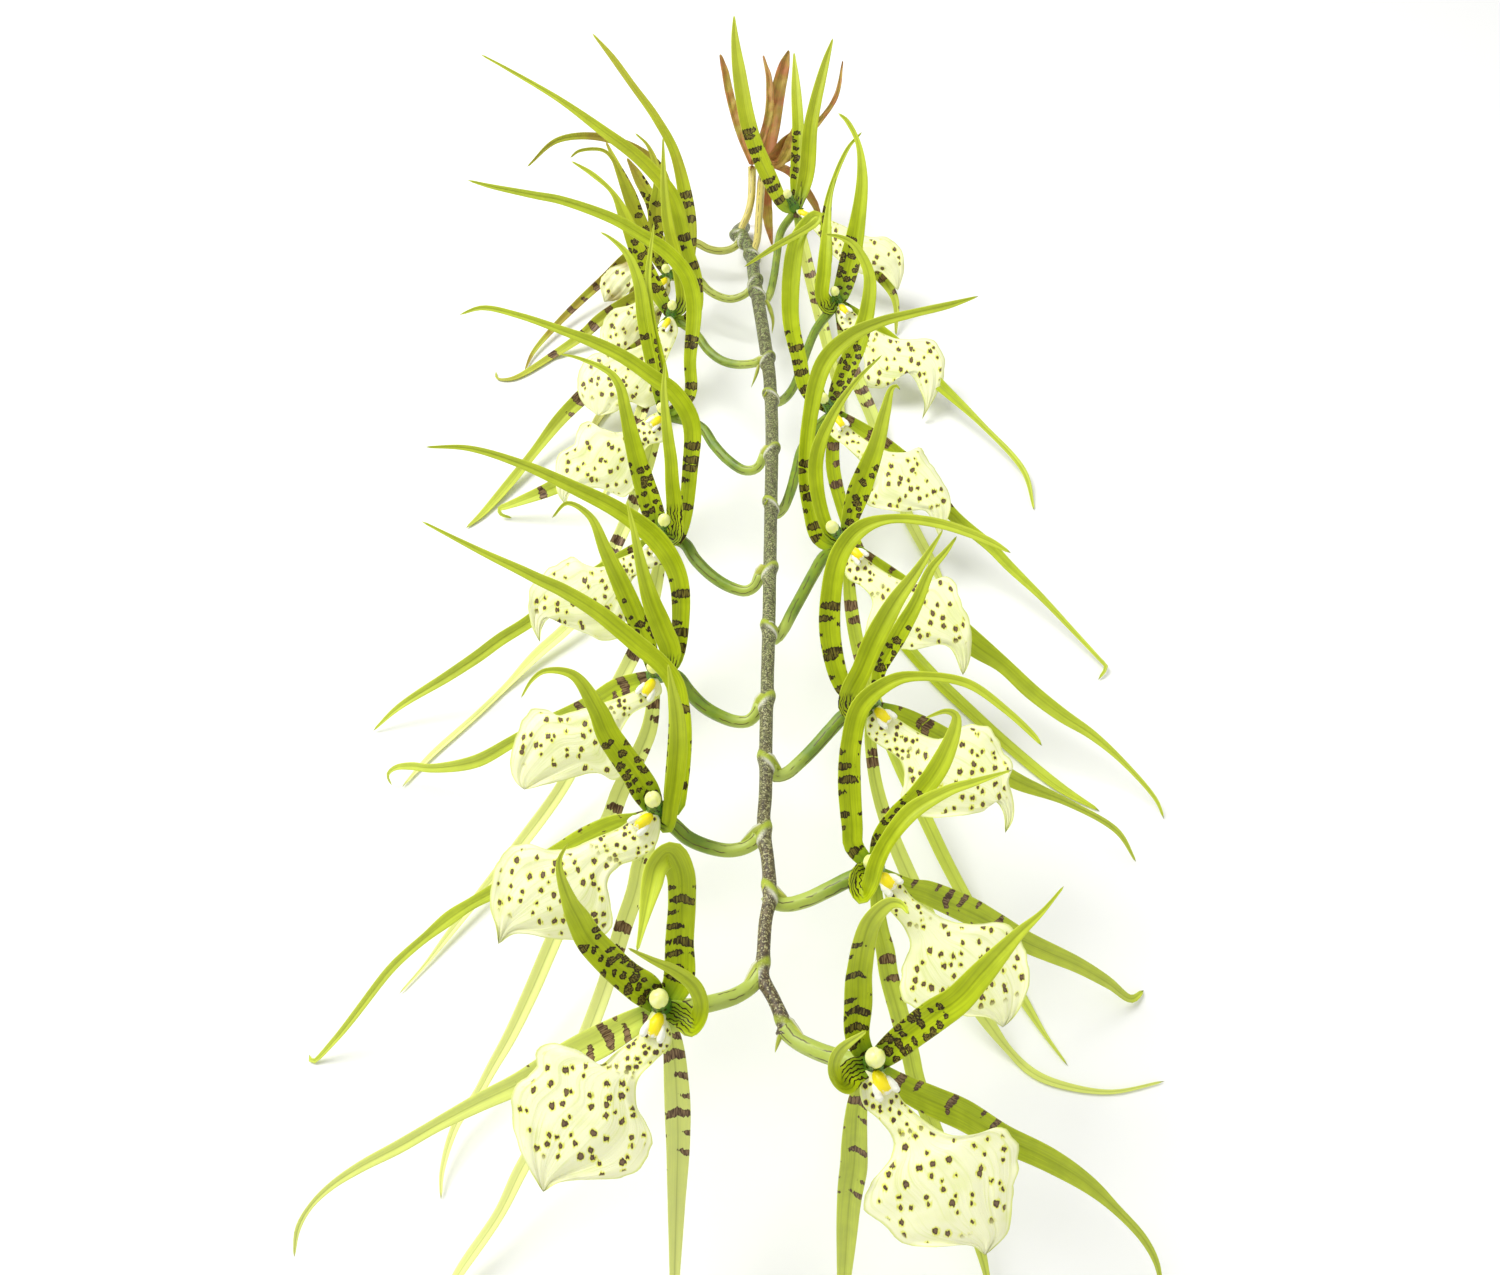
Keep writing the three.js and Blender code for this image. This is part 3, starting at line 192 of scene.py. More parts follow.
SURFACE = None  # the reach of a tepal that comes down to the surface
STEM_LINE = [
    (781, 1038), (785, 1026), (775, 1002), (762, 974), (763.5, 950), (765.5, 922), (770, 893), (768, 863),
    (763.5, 825), (765.5, 794), (766, 735), (767.5, 676), (769, 618), (770, 560), (771, 500), (772, 440),
    (771, 400), (769, 372), (763, 330), (759, 306), (754, 275), (751, 252), (744, 240), (738, 234),
]
CUT_END = (744, 227)
FLOWERS = {
    "left_1": {
        "heart": (662, 1008), "cap": (659, 999), "node": (762, 970), "pale_stalk": 4.0,
        "stalk": [(752, 985), (735, 996), (712, 1003), (690, 1007)],
        "lip": {
            "reach": 8,
            "upper": [
                (650, 1014), (640, 1033), (617, 1051), (598, 1065), (580, 1051), (549, 1043), (536, 1050),
                (536, 1067), (514, 1088), (513, 1125), (522, 1155), (543, 1193),
            ],
            "lower": [
                (672, 1042), (655, 1061), (638, 1080), (637, 1105), (652, 1137), (648, 1158), (630, 1175),
                (558, 1183), (543, 1193),
            ],
        },
        "dorsal": {"reach": 38, "line": [
            (679, 980, 31), (680, 940, 29), (682, 900, 28), (680, 870, 29), (669, 853, 30), (656, 866, 24),
            (651, 885, 22), (642, 928, 8), (637, 951, 3),
        ]},
        "petals": [
            {"reach": 22, "line": [
                (645, 989, 33), (627, 976, 31), (591, 941, 29), (578, 918, 24), (569, 900, 16), (559, 862, 6),
                (568, 843, 2),
            ]},
            {"reach": 30, "tone": 0.65, "line": [
                (684, 1016, 26), (694, 1026, 25), (702, 1008, 18), (695, 986, 16), (676, 971, 12),
                (652, 960, 7), (628, 948, 2),
            ]},
        ],
        "laterals": [
            {"reach": SURFACE, "tone": 0.5, "line": [
                (640, 1019, 24), (600, 1041, 32), (560, 1061, 29), (520, 1083, 22), (480, 1102, 18),
                (440, 1123, 14), (400, 1146, 13.5), (360, 1167, 11), (330, 1187, 8), (310, 1207, 6),
                (298, 1229, 6), (294, 1258, 2),
            ]},
            {"reach": SURFACE, "tone": 0.65, "line": [
                (672, 1040, 20), (677, 1100, 26), (678, 1140, 24), (677, 1180, 20), (676, 1220, 16),
                (675, 1260, 12), (674, 1300, 8), (672, 1335, 2),
            ]},
        ],
    },
    "left_2": {
        "heart": (656, 812), "cap": (653, 800), "node": (761, 834),
        "stalk": [(753, 843), (742, 848.5), (728, 850.5), (709, 847), (688, 838), (672, 824)],
        "lip": {
            "reach": 10,
            "upper": [
                (635, 815), (622, 826), (590, 840), (568, 849), (545, 849), (526, 843), (508, 847),
                (494, 872), (490, 905), (496, 928), (498, 945),
            ],
            "lower": [
                (660, 832), (654, 848), (638, 859), (620, 866), (608, 880), (611, 905), (611, 928),
                (600, 937), (560, 940), (515, 934), (498, 945),
            ],
        },
        "dorsal": {"reach": 12, "line": [
            (673, 806, 22), (676, 790, 24), (680, 735, 24), (679, 706, 21.5), (675, 684, 19), (662, 665, 18),
            (641, 647, 18.5), (620, 629.5, 17.5), (598, 612, 16.5), (564, 591, 14), (538, 579, 12),
            (520, 570, 10.5), (482, 552, 7), (421, 521, 2),
        ]},
        "petals": [
            {"reach": 18, "line": [
                (646, 792, 28), (634, 772, 27), (608, 734, 24), (597, 709, 19), (573, 675, 10),
                (545, 671, 5.5), (532, 680, 4), (521, 698, 1.5),
            ]},
            {"reach": 14, "tone": 0.35, "line": [
                (667, 828, 13), (671, 806, 16), (676, 770, 19), (678, 738, 18), (676, 710, 14), (672, 688, 8),
                (668, 664, 2),
            ]},
        ],
        "laterals": [
            {"reach": SURFACE, "line": [
                (638, 822, 20), (615, 828, 26), (588, 840, 27), (560, 856, 25), (520, 878, 20),
                (473, 903, 12.5), (450, 918, 14.5), (426, 937, 10), (406, 954, 9.5), (390, 970, 9.5),
                (335, 1040, 7), (312, 1062, 4.5), (309, 1054, 3),
            ]},
            {"reach": SURFACE, "line": [
                (648, 845, 16), (641, 864, 18), (636, 889, 18), (623, 928, 18), (607, 981, 17),
                (591, 1025, 17), (570, 1075, 16), (540, 1135, 14), (520, 1172, 14.5), (500, 1213, 12),
                (460, 1272, 11), (436, 1312, 2),
            ]},
        ],
    },
    "left_3": {
        "heart": (656, 676), "cap": (654, 667), "node": (762, 702),
        "stalk": [(756, 714), (748, 721), (736, 721.5), (720, 716), (703, 706), (689, 692), (675, 676)],
        "lip": {
            "reach": 10,
            "upper": [
                (648, 680), (636, 690), (575, 711), (558, 715), (545, 709), (530, 710), (510, 762),
                (514, 780), (524, 790),
            ],
            "lower": [
                (662, 692), (652, 703), (632, 714), (621, 733), (619, 755), (622, 777), (612, 780),
                (598, 773), (575, 778), (524, 790),
            ],
        },
        "dorsal": {"reach": 12, "line": [
            (673, 664, 14), (681, 614, 18), (677, 574, 20), (657, 540, 21), (620, 511, 17.5), (575, 488, 14),
            (522, 464, 9.5), (468, 448, 6), (425, 447, 2),
        ]},
        "petals": [
            {"reach": 16, "line": [
                (645, 640, 20), (625, 592, 20), (606, 551, 14), (590, 516, 7.5), (567, 503, 4.5),
                (552, 518, 2),
            ]},
            {"reach": 14, "tone": 0.5, "line": [
                (671, 656, 20), (662, 628, 22), (652, 603, 19), (643, 572, 13), (635, 535, 7.5),
                (627, 501, 1.5),
            ]},
        ],
        "laterals": [
            {"reach": SURFACE, "line": [
                (640, 682, 20), (618, 690, 23), (595, 704, 22), (540, 728, 16), (514, 741, 12.5),
                (476, 761, 13.5), (431, 768, 9), (412, 766, 8), (395, 768, 5.5), (388, 775, 4), (392, 786, 2),
            ]},
            {"reach": SURFACE, "line": [
                (650, 726, 16), (642, 748, 17), (620, 792, 18), (612, 814, 18), (600, 840, 18),
                (580, 885, 17), (560, 925, 17), (531, 992, 16), (510, 1036, 14), (493, 1066, 12),
                (477, 1095, 10), (457, 1123, 9), (442, 1172, 5), (441, 1200, 2),
            ]},
        ],
    },
    "left_4": {
        "heart": (662, 536), "cap": (664, 521), "node": (762, 572),
        "stalk": [(755, 586), (746, 591), (730, 587), (712, 576), (695, 559), (684, 543)],
        "lip": {
            "reach": 10,
            "upper": [
                (650, 541), (640, 549), (618, 559), (600, 567), (584, 564), (572, 557), (533, 584),
                (528, 605), (532, 627), (540, 643),
            ],
            "lower": [
                (664, 560), (632, 580), (627, 610), (619, 637), (602, 641), (588, 634), (565, 626),
                (550, 618), (542, 628), (540, 643),
            ],
        },
        "dorsal": {"reach": 14, "line": [
            (675, 541, 13), (683, 525, 14), (690, 470, 16), (691, 422, 18), (672, 391, 17.5),
            (654, 378, 15.5), (625, 358, 14), (595, 343, 12), (566, 332, 9), (520, 316, 6.5), (482, 308, 5),
            (459, 315, 1.5),
        ]},
        "petals": [
            {"reach": 14, "line": [
                (652, 508, 23), (636, 455, 18.5), (625, 408, 12.5), (620, 387, 9.5), (610, 373, 7),
                (578, 358, 3.5), (560, 354, 1.5),
            ]},
            {"reach": 16, "arch": 4, "tone": 0.9, "line": [
                (674, 538, 16), (675, 514, 17), (672, 480, 14), (671, 460, 13), (668, 437, 11.5),
                (664, 393, 6.5), (665, 362, 1.5),
            ]},
        ],
        "laterals": [
            {"reach": SURFACE, "line": [
                (640, 548, 14), (600, 573, 17), (560, 600, 16), (525, 624, 13), (501, 639, 13),
                (478, 656, 12.5), (448, 676, 11), (398, 708, 6.5), (373, 731, 2),
            ]},
            {"reach": SURFACE, "line": [
                (660, 560, 12), (650, 610, 15), (640, 640, 15), (612, 695, 15), (590, 735, 14),
                (560, 790, 13.5), (520, 845, 13.5), (480, 895, 10), (450, 933, 8), (425, 965, 4),
                (399, 994, 2),
            ]},
        ],
    },
    "left_5": {
        "heart": (664, 415), "node": (766, 452),
        "stalk": [(757, 468), (745, 470.5), (728, 460), (714, 445), (701, 427)],
        "lip": {
            "reach": 10,
            "upper": [
                (655, 413), (620, 432), (602, 428), (588, 421), (577, 431), (574, 443), (558, 455),
                (557, 492), (566, 506),
            ],
            "lower": [
                (667, 440), (648, 446), (640, 462), (636, 486), (624, 497), (598, 488), (570, 494),
                (566, 506),
            ],
        },
        "dorsal": {"reach": 12, "line": [
            (681, 405, 12), (690, 394, 12.5), (690, 360, 12.5), (694, 305, 16), (687, 276, 15.5),
            (666, 251, 14.5), (640, 234, 12.5), (614, 219, 11), (561, 200, 8.5), (535, 195, 7.5),
            (490, 186, 4.5), (467, 180, 1.5),
        ]},
        "petals": [
            {"reach": 14, "line": [
                (657, 382, 14.5), (645, 322, 15.5), (639, 283, 12), (627, 254, 7), (609, 237, 3),
                (600, 232, 1.5),
            ]},
            {"reach": 12, "tone": 0.4, "line": [
                (664, 382, 10.5), (652, 324, 9), (648, 280, 7), (654, 223, 1.5),
            ]},
        ],
        "laterals": [
            {"reach": SURFACE, "line": [
                (655, 424, 12), (600, 455, 20), (562, 483, 16), (508, 506, 8), (500, 509, 6), (501, 514, 4),
                (512, 518, 2),
            ]},
            {"reach": SURFACE, "line": [
                (654, 440, 13), (646, 468, 14), (625, 525, 14), (612, 553, 14), (594, 590, 13.5),
                (572, 623, 13), (536, 656, 12), (507, 686, 7.5), (478, 714, 7), (431, 756, 7), (402, 787, 2),
            ]},
        ],
    },
    "left_6": {
        "heart": (671, 316), "cap": (672, 306), "node": (762, 361), "fading": 0.15,
        "stalk": [(755, 363), (745, 364.5), (733, 364), (720, 359.5), (708, 350), (696, 334)],
        "lip": {
            "reach": 10,
            "upper": [
                (664, 322), (640, 345), (618, 352), (600, 352), (583, 362), (577, 385), (582, 402),
                (598, 416),
            ],
            "lower": [
                (678, 330), (665, 365), (660, 401), (646, 408), (630, 402), (615, 412), (598, 416),
            ],
        },
        "dorsal": {"reach": 12, "line": [
            (684, 322, 13), (694, 312, 14), (695, 280, 14.5), (686, 249, 14.5), (678, 212, 14.5),
            (670, 193, 14.5), (641, 160, 13), (603, 131, 10.5), (560, 100, 6), (511, 71, 3.5), (480, 54, 1.5),
        ]},
        "petals": [
            {"reach": 14, "line": [
                (655, 288, 17), (640, 257, 17), (624, 215, 12.5), (612, 192, 5), (592, 174, 5),
                (571, 161, 1.5),
            ]},
            {"reach": 16, "tone": 0.5, "line": [
                (682, 304, 14), (678, 265, 13), (668, 225, 11.5), (664, 185, 7), (663, 137, 1.5),
            ]},
        ],
        "laterals": [
            {"reach": SURFACE, "line": [
                (660, 330, 12), (615, 368, 16), (592, 388, 15.5), (561, 419, 14), (535, 452, 10.5),
                (508, 486, 11.5), (482, 515, 8), (466, 528, 2),
            ]},
            {"reach": SURFACE, "line": [
                (664, 335, 12), (650, 388, 13), (630, 442, 11.5), (618, 468, 9), (600, 502, 2),
            ]},
        ],
    },
    "left_7": {
        "heart": (668, 276), "node": (755, 283), "fading": 0.4, "pale_stalk": 2.6,
        "stalk": [(749, 291), (742, 296), (731, 299), (719, 296.5), (708, 290), (697, 279)],
        "lip": {
            "reach": 8,
            "upper": [
                (660, 284), (632, 304), (612, 310), (602, 325), (600, 345), (606, 360),
            ],
            "lower": [
                (670, 292), (662, 305), (650, 318), (636, 350), (622, 354), (606, 360),
            ],
        },
        "dorsal": {"reach": 10, "line": [
            (681, 270, 13), (687, 258, 14.5), (688, 218, 16), (675, 154, 10.5), (656, 118, 8.5), (633, 86, 7),
            (612, 57, 6), (592, 33, 1.5),
        ]},
        "petals": [
            {"reach": 20, "line": [
                (662, 262, 11), (655, 215, 13), (658, 175, 8.5), (648, 146, 3.5), (635, 133, 1.5),
            ]},
            {"reach": 24, "line": [
                (655, 255, 12), (633, 205, 14), (612, 158, 4), (602, 150, 3.5), (579, 151, 3),
                (570, 158, 1.5),
            ]},
        ],
        "laterals": [
            {"reach": SURFACE, "line": [
                (635, 298, 13.5), (600, 320, 12), (585, 334, 11), (553, 356, 9.5), (512, 379, 5.5),
                (497, 378, 2.5), (496, 371, 1.5),
            ]},
            {"reach": SURFACE, "line": [
                (655, 315, 12), (643, 345, 12.5), (612, 398, 11.5), (592, 430, 6), (588, 445, 2),
            ]},
        ],
    },
    "left_8": {
        "heart": (645, 246), "node": (741, 240), "fading": 0.85, "pale_stalk": 3.4,
        "stalk": [(737, 245), (731, 249), (721, 251), (709, 249), (697, 243), (680, 238)],
        "lip": {
            "reach": 6,
            "upper": [
                (640, 250), (626, 262), (610, 268), (600, 282), (604, 302),
            ],
            "lower": [
                (650, 256), (622, 298), (604, 302),
            ],
        },
        "dorsal": {"reach": 16, "line": [
            (655, 236, 10), (666, 207, 12), (658, 168, 11.5), (610, 139, 8), (558, 140, 5.5), (527, 167, 1.5),
        ]},
        "petals": [
            {"reach": 12, "line": [(643, 232, 11), (631, 198, 14), (616, 163, 6.5), (606, 142, 2)]},
            {"reach": 18, "line": [(652, 236, 10), (653, 207, 13), (639, 178, 11), (627, 158, 2)]},
        ],
        "laterals": [
            {"reach": SURFACE, "line": [
                (628, 258, 12.5), (608, 276, 10), (582, 300, 8.5), (556, 326, 7), (533, 353, 4.5),
                (525, 370, 1.5),
            ]},
            {"reach": SURFACE, "line": [(640, 275, 11), (627, 320, 11.5), (610, 365, 6), (604, 385, 2)]},
        ],
    },
    "right_1": {
        "heart": (872, 1066), "cap": (875, 1058), "node": (783, 1027), "pale_stalk": 2.6,
        "stalk": [(796, 1040), (815, 1050), (838, 1058)],
        "lip": {
            "reach": 8,
            "upper": [
                (892, 1082), (905, 1103), (948, 1134), (975, 1134), (1000, 1127), (1012, 1134), (1019, 1155),
                (1013, 1195), (1008, 1232), (985, 1256),
            ],
            "lower": [
                (860, 1084), (863, 1105), (880, 1121), (893, 1140), (890, 1158), (870, 1185), (863, 1207),
                (885, 1226), (902, 1243), (935, 1247), (972, 1246), (985, 1256),
            ],
        },
        "dorsal": {"reach": 38, "line": [
            (857, 1038, 25), (858, 1000, 28.5), (859, 971, 26.5), (871, 921, 20), (891, 902, 13),
            (902, 904, 9), (909, 914, 3),
        ]},
        "petals": [
            {"reach": 24, "line": [
                (888, 1051, 26), (933, 1016, 32), (958, 999, 28.5), (981, 974, 25), (1019, 933, 12),
                (1042, 912, 5.5), (1064, 886, 2),
            ]},
            {"reach": 30, "tone": 0.65, "line": [
                (853, 1072, 26), (843, 1084, 26), (833, 1070, 16), (838, 1052, 13), (866, 1031, 3),
            ]},
        ],
        "laterals": [
            {"reach": SURFACE, "tone": 0.2, "line": [
                (863, 1085, 18), (858, 1104, 21), (855, 1138, 26), (854, 1165, 27.5), (850, 1193, 25),
                (846, 1249, 18.5), (843, 1305, 9), (844, 1335, 2),
            ]},
            {"reach": SURFACE, "tone": 0.0, "line": [
                (900, 1085, 24), (930, 1100, 29), (960, 1113, 30), (1000, 1136, 26.5), (1050, 1160, 23.5),
                (1088, 1184, 17), (1115, 1208, 10.5), (1143, 1238, 8.5), (1156, 1262, 6.5), (1162, 1290, 3),
            ]},
        ],
    },
    "right_2": {
        "heart": (874, 870), "node": (767, 892), "pale_stalk": 1.4,
        "stalk": [(773, 901), (786, 904.5), (805, 900.5), (828, 890), (850, 879)],
        "lip": {
            "reach": 10,
            "upper": [
                (902, 884), (912, 897), (948, 920), (975, 924), (1000, 922), (1014, 930), (1030, 975),
                (1018, 1012), (1003, 1028),
            ],
            "lower": [
                (884, 893), (888, 908), (902, 925), (910, 945), (904, 962), (900, 985), (906, 1004),
                (930, 1010), (965, 1016), (988, 1018), (1003, 1028),
            ],
        },
        "dorsal": {"reach": 20, "line": [
            (853, 845, 20), (852, 828, 21), (849, 783, 23), (851, 742, 21), (862, 704, 20), (894, 680, 14),
            (919, 676, 10), (967, 683, 9.5), (1006, 710, 7.5), (1035, 737, 5.5), (1042, 746, 2),
        ]},
        "petals": [
            {"reach": 14, "line": [
                (881, 838, 18), (897, 815, 19), (916, 797, 20), (942, 761, 20), (956, 716, 9), (947, 711, 6),
                (925, 718, 2),
            ]},
            {"reach": 22, "arch": 13, "tone": 1.0, "line": [
                (859, 871, 17), (856, 886, 21), (864, 898, 18), (871, 885, 19), (877, 862, 17),
                (888, 840, 16), (911, 812, 18), (950, 790, 11.5), (972, 783, 8.5), (1012, 770, 1.5),
            ]},
        ],
        "laterals": [
            {"reach": SURFACE, "line": [
                (909, 887, 18), (925, 892, 24), (967, 910, 27), (994, 924, 24), (1028, 943, 21),
                (1077, 965, 16), (1108, 983, 12), (1131, 999, 8), (1144, 990, 3),
            ]},
            {"reach": SURFACE, "tone": 0.2, "line": [
                (880, 928, 16.5), (885, 950, 19), (888, 972, 19.5), (899, 1014, 19), (910, 1054, 18.5),
                (915, 1077, 18), (930, 1120, 17), (950, 1170, 16), (968, 1215, 13), (980, 1250, 11),
                (993, 1305, 2),
            ]},
        ],
    },
    "right_3": {
        "heart": (872, 706), "node": (768, 763),
        "stalk": [(773, 775), (785, 774), (800, 762), (815, 747), (833, 727), (845, 715)],
        "lip": {
            "reach": 10,
            "upper": [
                (888, 712), (938, 739), (960, 727), (978, 724), (992, 730), (1003, 750), (1013, 766),
                (1009, 780), (1014, 803), (1013, 820), (1005, 834),
            ],
            "lower": [
                (867, 734), (901, 762), (904, 783), (900, 800), (922, 817), (955, 816), (984, 811),
                (994, 801), (1003, 812), (1005, 834),
            ],
        },
        "dorsal": {"reach": 18, "line": [
            (846, 691, 17), (831, 643, 21), (831, 594, 21), (840, 554, 19.5), (860, 529, 17), (889, 519, 10),
            (937, 523, 10), (989, 541, 7.5), (1011, 553, 2),
        ]},
        "petals": [
            {"reach": 10, "line": [
                (877, 688, 12), (879, 671, 13.5), (897, 637, 18), (916, 603, 14), (931, 569, 9.5),
                (946, 551, 6), (957, 536, 1.5),
            ]},
            {"reach": 18, "arch": 11, "tone": 1.0, "line": [
                (856, 713, 19), (846, 706, 23), (851, 690, 23), (861, 671, 21), (874, 640, 22),
                (894, 603, 18), (916, 572, 11), (943, 530, 1.5),
            ]},
        ],
        "laterals": [
            {"reach": SURFACE, "line": [
                (905, 718, 20), (965, 750, 21), (995, 769, 19), (1017, 781, 16.5), (1069, 803, 7.5),
                (1117, 831, 6), (1136, 862, 2),
            ]},
            {"reach": SURFACE, "line": [
                (870, 730, 11), (874, 772, 12.5), (881, 803, 13.5), (893, 838, 15), (907, 871, 16),
                (925, 910, 16), (945, 950, 15.5), (963, 983, 15), (985, 1018, 14.5), (1007, 1048, 8.5),
                (1030, 1071, 9), (1055, 1083, 8), (1110, 1092, 4.5), (1165, 1081, 2),
            ]},
        ],
    },
    "right_4": {
        "heart": (848, 545), "cap": (833, 528), "node": (770, 630),
        "stalk": [(775, 639), (783, 630), (792, 613), (803, 593), (814, 573), (825, 556)],
        "lip": {
            "reach": 10,
            "upper": [
                (864, 557), (904, 581), (932, 580), (950, 577), (962, 606), (970, 622), (970, 660),
                (963, 676),
            ],
            "lower": [
                (843, 560), (847, 578), (862, 587), (872, 601), (866, 640), (908, 650), (947, 646),
                (963, 676),
            ],
        },
        "dorsal": {"reach": 14, "line": [
            (832, 545, 15), (819, 537, 17), (811, 509, 17), (806, 480, 15), (809, 423, 15.5), (824, 363, 18),
            (849, 337, 15.5), (880, 322, 11), (914, 313, 8.5), (949, 305, 7), (979, 296, 1.5),
        ]},
        "petals": [
            {"reach": 16, "line": [
                (848, 528, 15), (859, 491, 23.5), (876, 446, 17), (885, 411, 11.5), (892, 388, 5.5),
                (897, 386, 3), (900, 390, 1.5),
            ]},
            {"reach": 12, "tone": 0.5, "line": [
                (832, 535, 12), (820, 505, 14), (816, 460, 15), (830, 420, 11), (856, 381, 5),
                (882, 355, 1.5),
            ]},
        ],
        "laterals": [
            {"reach": SURFACE, "line": [
                (890, 577, 20), (920, 600, 24), (950, 624, 25), (977, 646, 23.5), (1003, 665, 16),
                (1031, 691, 16), (1062, 715, 14), (1091, 734, 10), (1121, 760, 6), (1156, 800, 4),
                (1164, 819, 2),
            ]},
            {"reach": SURFACE, "tone": 0.2, "line": [
                (850, 597, 13), (858, 647, 14), (868, 680, 14), (880, 715, 14), (900, 765, 14),
                (926, 820, 14), (945, 860, 14), (966, 900, 13.5), (985, 935, 13), (1005, 970, 12),
                (1023, 1000, 10.5), (1045, 1035, 5), (1068, 1066, 2),
            ]},
        ],
    },
    "right_5": {
        "heart": (834, 413), "cap": (824, 399), "node": (768, 506),
        "stalk": [(774, 515), (782, 510), (790, 493), (796, 472), (802, 450), (815, 430)],
        "lip": {
            "reach": 10,
            "upper": [
                (846, 424), (866, 440), (888, 451), (906, 452), (919, 448), (929, 461), (951, 500),
                (940, 539),
            ],
            "lower": [
                (829, 433), (846, 447), (873, 480), (865, 504), (884, 509), (905, 512), (925, 511),
                (940, 539),
            ],
        },
        "dorsal": {"reach": 12, "line": [
            (808, 392, 14), (799, 358, 15.5), (791, 319, 17), (793, 261, 18), (799, 236, 15),
            (812, 217, 10.5), (818, 215, 9), (818, 220, 8.5), (773, 248, 6), (744, 267, 1.5),
        ]},
        "petals": [
            {"reach": 12, "line": [
                (835, 400, 15), (847, 367, 20), (856, 347, 19.5), (867, 311, 15.5), (869, 274, 11.5),
                (854, 245, 7), (840, 237, 4.5), (824, 234, 1.5),
            ]},
            {"reach": 6, "line": [(817, 388, 13), (826, 358, 12.5), (851, 336, 9), (886, 321, 1.5)]},
        ],
        "laterals": [
            {"reach": SURFACE, "line": [
                (872, 438, 18), (918, 475, 19), (953, 515, 12.5), (991, 547, 11), (1010, 567, 10),
                (1041, 597, 7), (1074, 632, 5), (1100, 660, 4), (1106, 667, 4), (1098, 680, 2),
            ]},
            {"reach": SURFACE, "tone": 0.0, "line": [
                (834, 428, 11), (833, 467, 14), (842, 506, 13), (854, 540, 13), (868, 572, 13),
                (884, 607, 13), (900, 638, 13), (935, 679, 13.5), (960, 703, 13.5), (1010, 748, 12.5),
                (1060, 788, 10.5), (1100, 811, 2.5),
            ]},
        ],
    },
    "right_6": {
        "heart": (838, 303), "cap": (835, 292), "node": (767, 397),
        "stalk": [(774, 403), (783, 400), (793, 388), (801, 368), (808, 348), (817, 328)],
        "lip": {
            "reach": 10,
            "upper": [
                (854, 312), (872, 328), (900, 339), (932, 340), (944, 358), (943, 380), (922, 420),
            ],
            "lower": [
                (838, 322), (864, 358), (864, 384), (884, 388), (896, 377), (908, 373), (924, 402),
                (922, 420),
            ],
        },
        "dorsal": {"reach": 12, "line": [
            (827, 300, 11), (821, 288, 12.5), (826, 258, 12.5), (826, 222, 10.5), (831, 189, 6),
            (848, 148, 4), (862, 132, 1.5),
        ]},
        "petals": [
            {"reach": 14, "line": [
                (840, 297, 16), (848, 270, 21), (859, 212, 15), (862, 174, 10.5), (858, 143, 5.5),
                (847, 121, 4.5), (838, 113, 1.5),
            ]},
            {"reach": 6, "arch": 7, "tone": 0.62, "line": [
                (828, 310, 11), (822, 296, 14), (824, 272, 14.5), (826, 242, 11.5), (829, 204, 4.5),
                (835, 176, 1.5),
            ]},
        ],
        "laterals": [
            {"reach": SURFACE, "line": [
                (870, 326, 16), (910, 359, 16), (949, 394, 10.5), (982, 425, 6), (1024, 472, 6),
                (1034, 510, 2),
            ]},
            {"reach": SURFACE, "line": [
                (846, 345, 13), (853, 370, 14), (871, 414, 14), (882, 445, 13.5), (895, 482, 13),
                (907, 516, 12.5), (932, 564, 10), (950, 602, 2),
            ]},
        ],
    },
    "right_7": {
        "heart": (796, 210), "cap": (788, 195), "depth": 715, "node": (760, 294), "fading": 0.15,
        "stalk": [(764, 302), (769, 296), (774, 276), (777, 255), (781, 232)],
        "lip": {
            "reach": 8,
            "upper": [
                (812, 213), (835, 222), (870, 237), (886, 237), (901, 250), (904, 270), (898, 291),
            ],
            "lower": [
                (806, 222), (822, 240), (836, 258), (866, 275), (878, 271), (898, 291),
            ],
        },
        "dorsal": {"reach": 10, "line": [
            (785, 206, 12), (769, 177, 16), (754, 143, 16), (746, 114, 16), (739, 72, 13.5), (735, 40, 8),
            (734, 15, 1.5),
        ]},
        "petals": [
            {"reach": 16, "tone": 0.35, "line": [
                (806, 176, 15.5), (811, 124, 14), (825, 64, 8), (833, 38, 1.5),
            ]},
            {"reach": 4, "line": [(796, 180, 12), (798, 131, 12), (796, 89, 9.5), (794, 52, 1.5)]},
        ],
        "laterals": [
            {"reach": SURFACE, "line": [(825, 229, 15), (863, 258, 15), (894, 297, 8), (896, 335, 2)]},
            {"reach": SURFACE, "line": [
                (803, 245, 11), (814, 292, 12.5), (826, 340, 12), (838, 390, 9), (846, 440, 2),
            ]},
        ],
    },
    "withered_1": {
        "heart": (752, 165), "depth": 742, "node": (739, 236),
        "stalk": [(742, 227), (748, 213), (751, 200), (752, 183)],
        "dorsal": {"reach": 8, "line": [(741, 136, 7.5), (731, 100, 8.5), (724, 68, 6.5), (720, 54, 2)]},
        "petals": [
            {"reach": -6, "line": [(768, 118, 8.5), (769, 80, 6.5), (763, 55, 1.5)]},
        ],
        "laterals": [
            {"reach": SURFACE, "line": [
                (752, 178, 5), (752, 190, 6), (751, 202, 5.5), (750, 212, 4.5), (747, 224, 2),
            ]},
        ],
    },
    "withered_2": {
        "heart": (767, 163), "depth": 752, "node": (752, 257),
        "stalk": [(757, 240), (759, 216), (760.5, 195), (762, 178)],
        "dorsal": {"reach": 6, "line": [(771, 130, 17), (777, 96, 15), (784, 66, 11), (789, 50, 2)]},
        "petals": [
            {"reach": -10, "line": [
                (776, 158, 17), (788, 148, 22), (802, 134, 14), (819, 121, 6), (836, 96, 5), (843, 60, 1.5),
            ]},
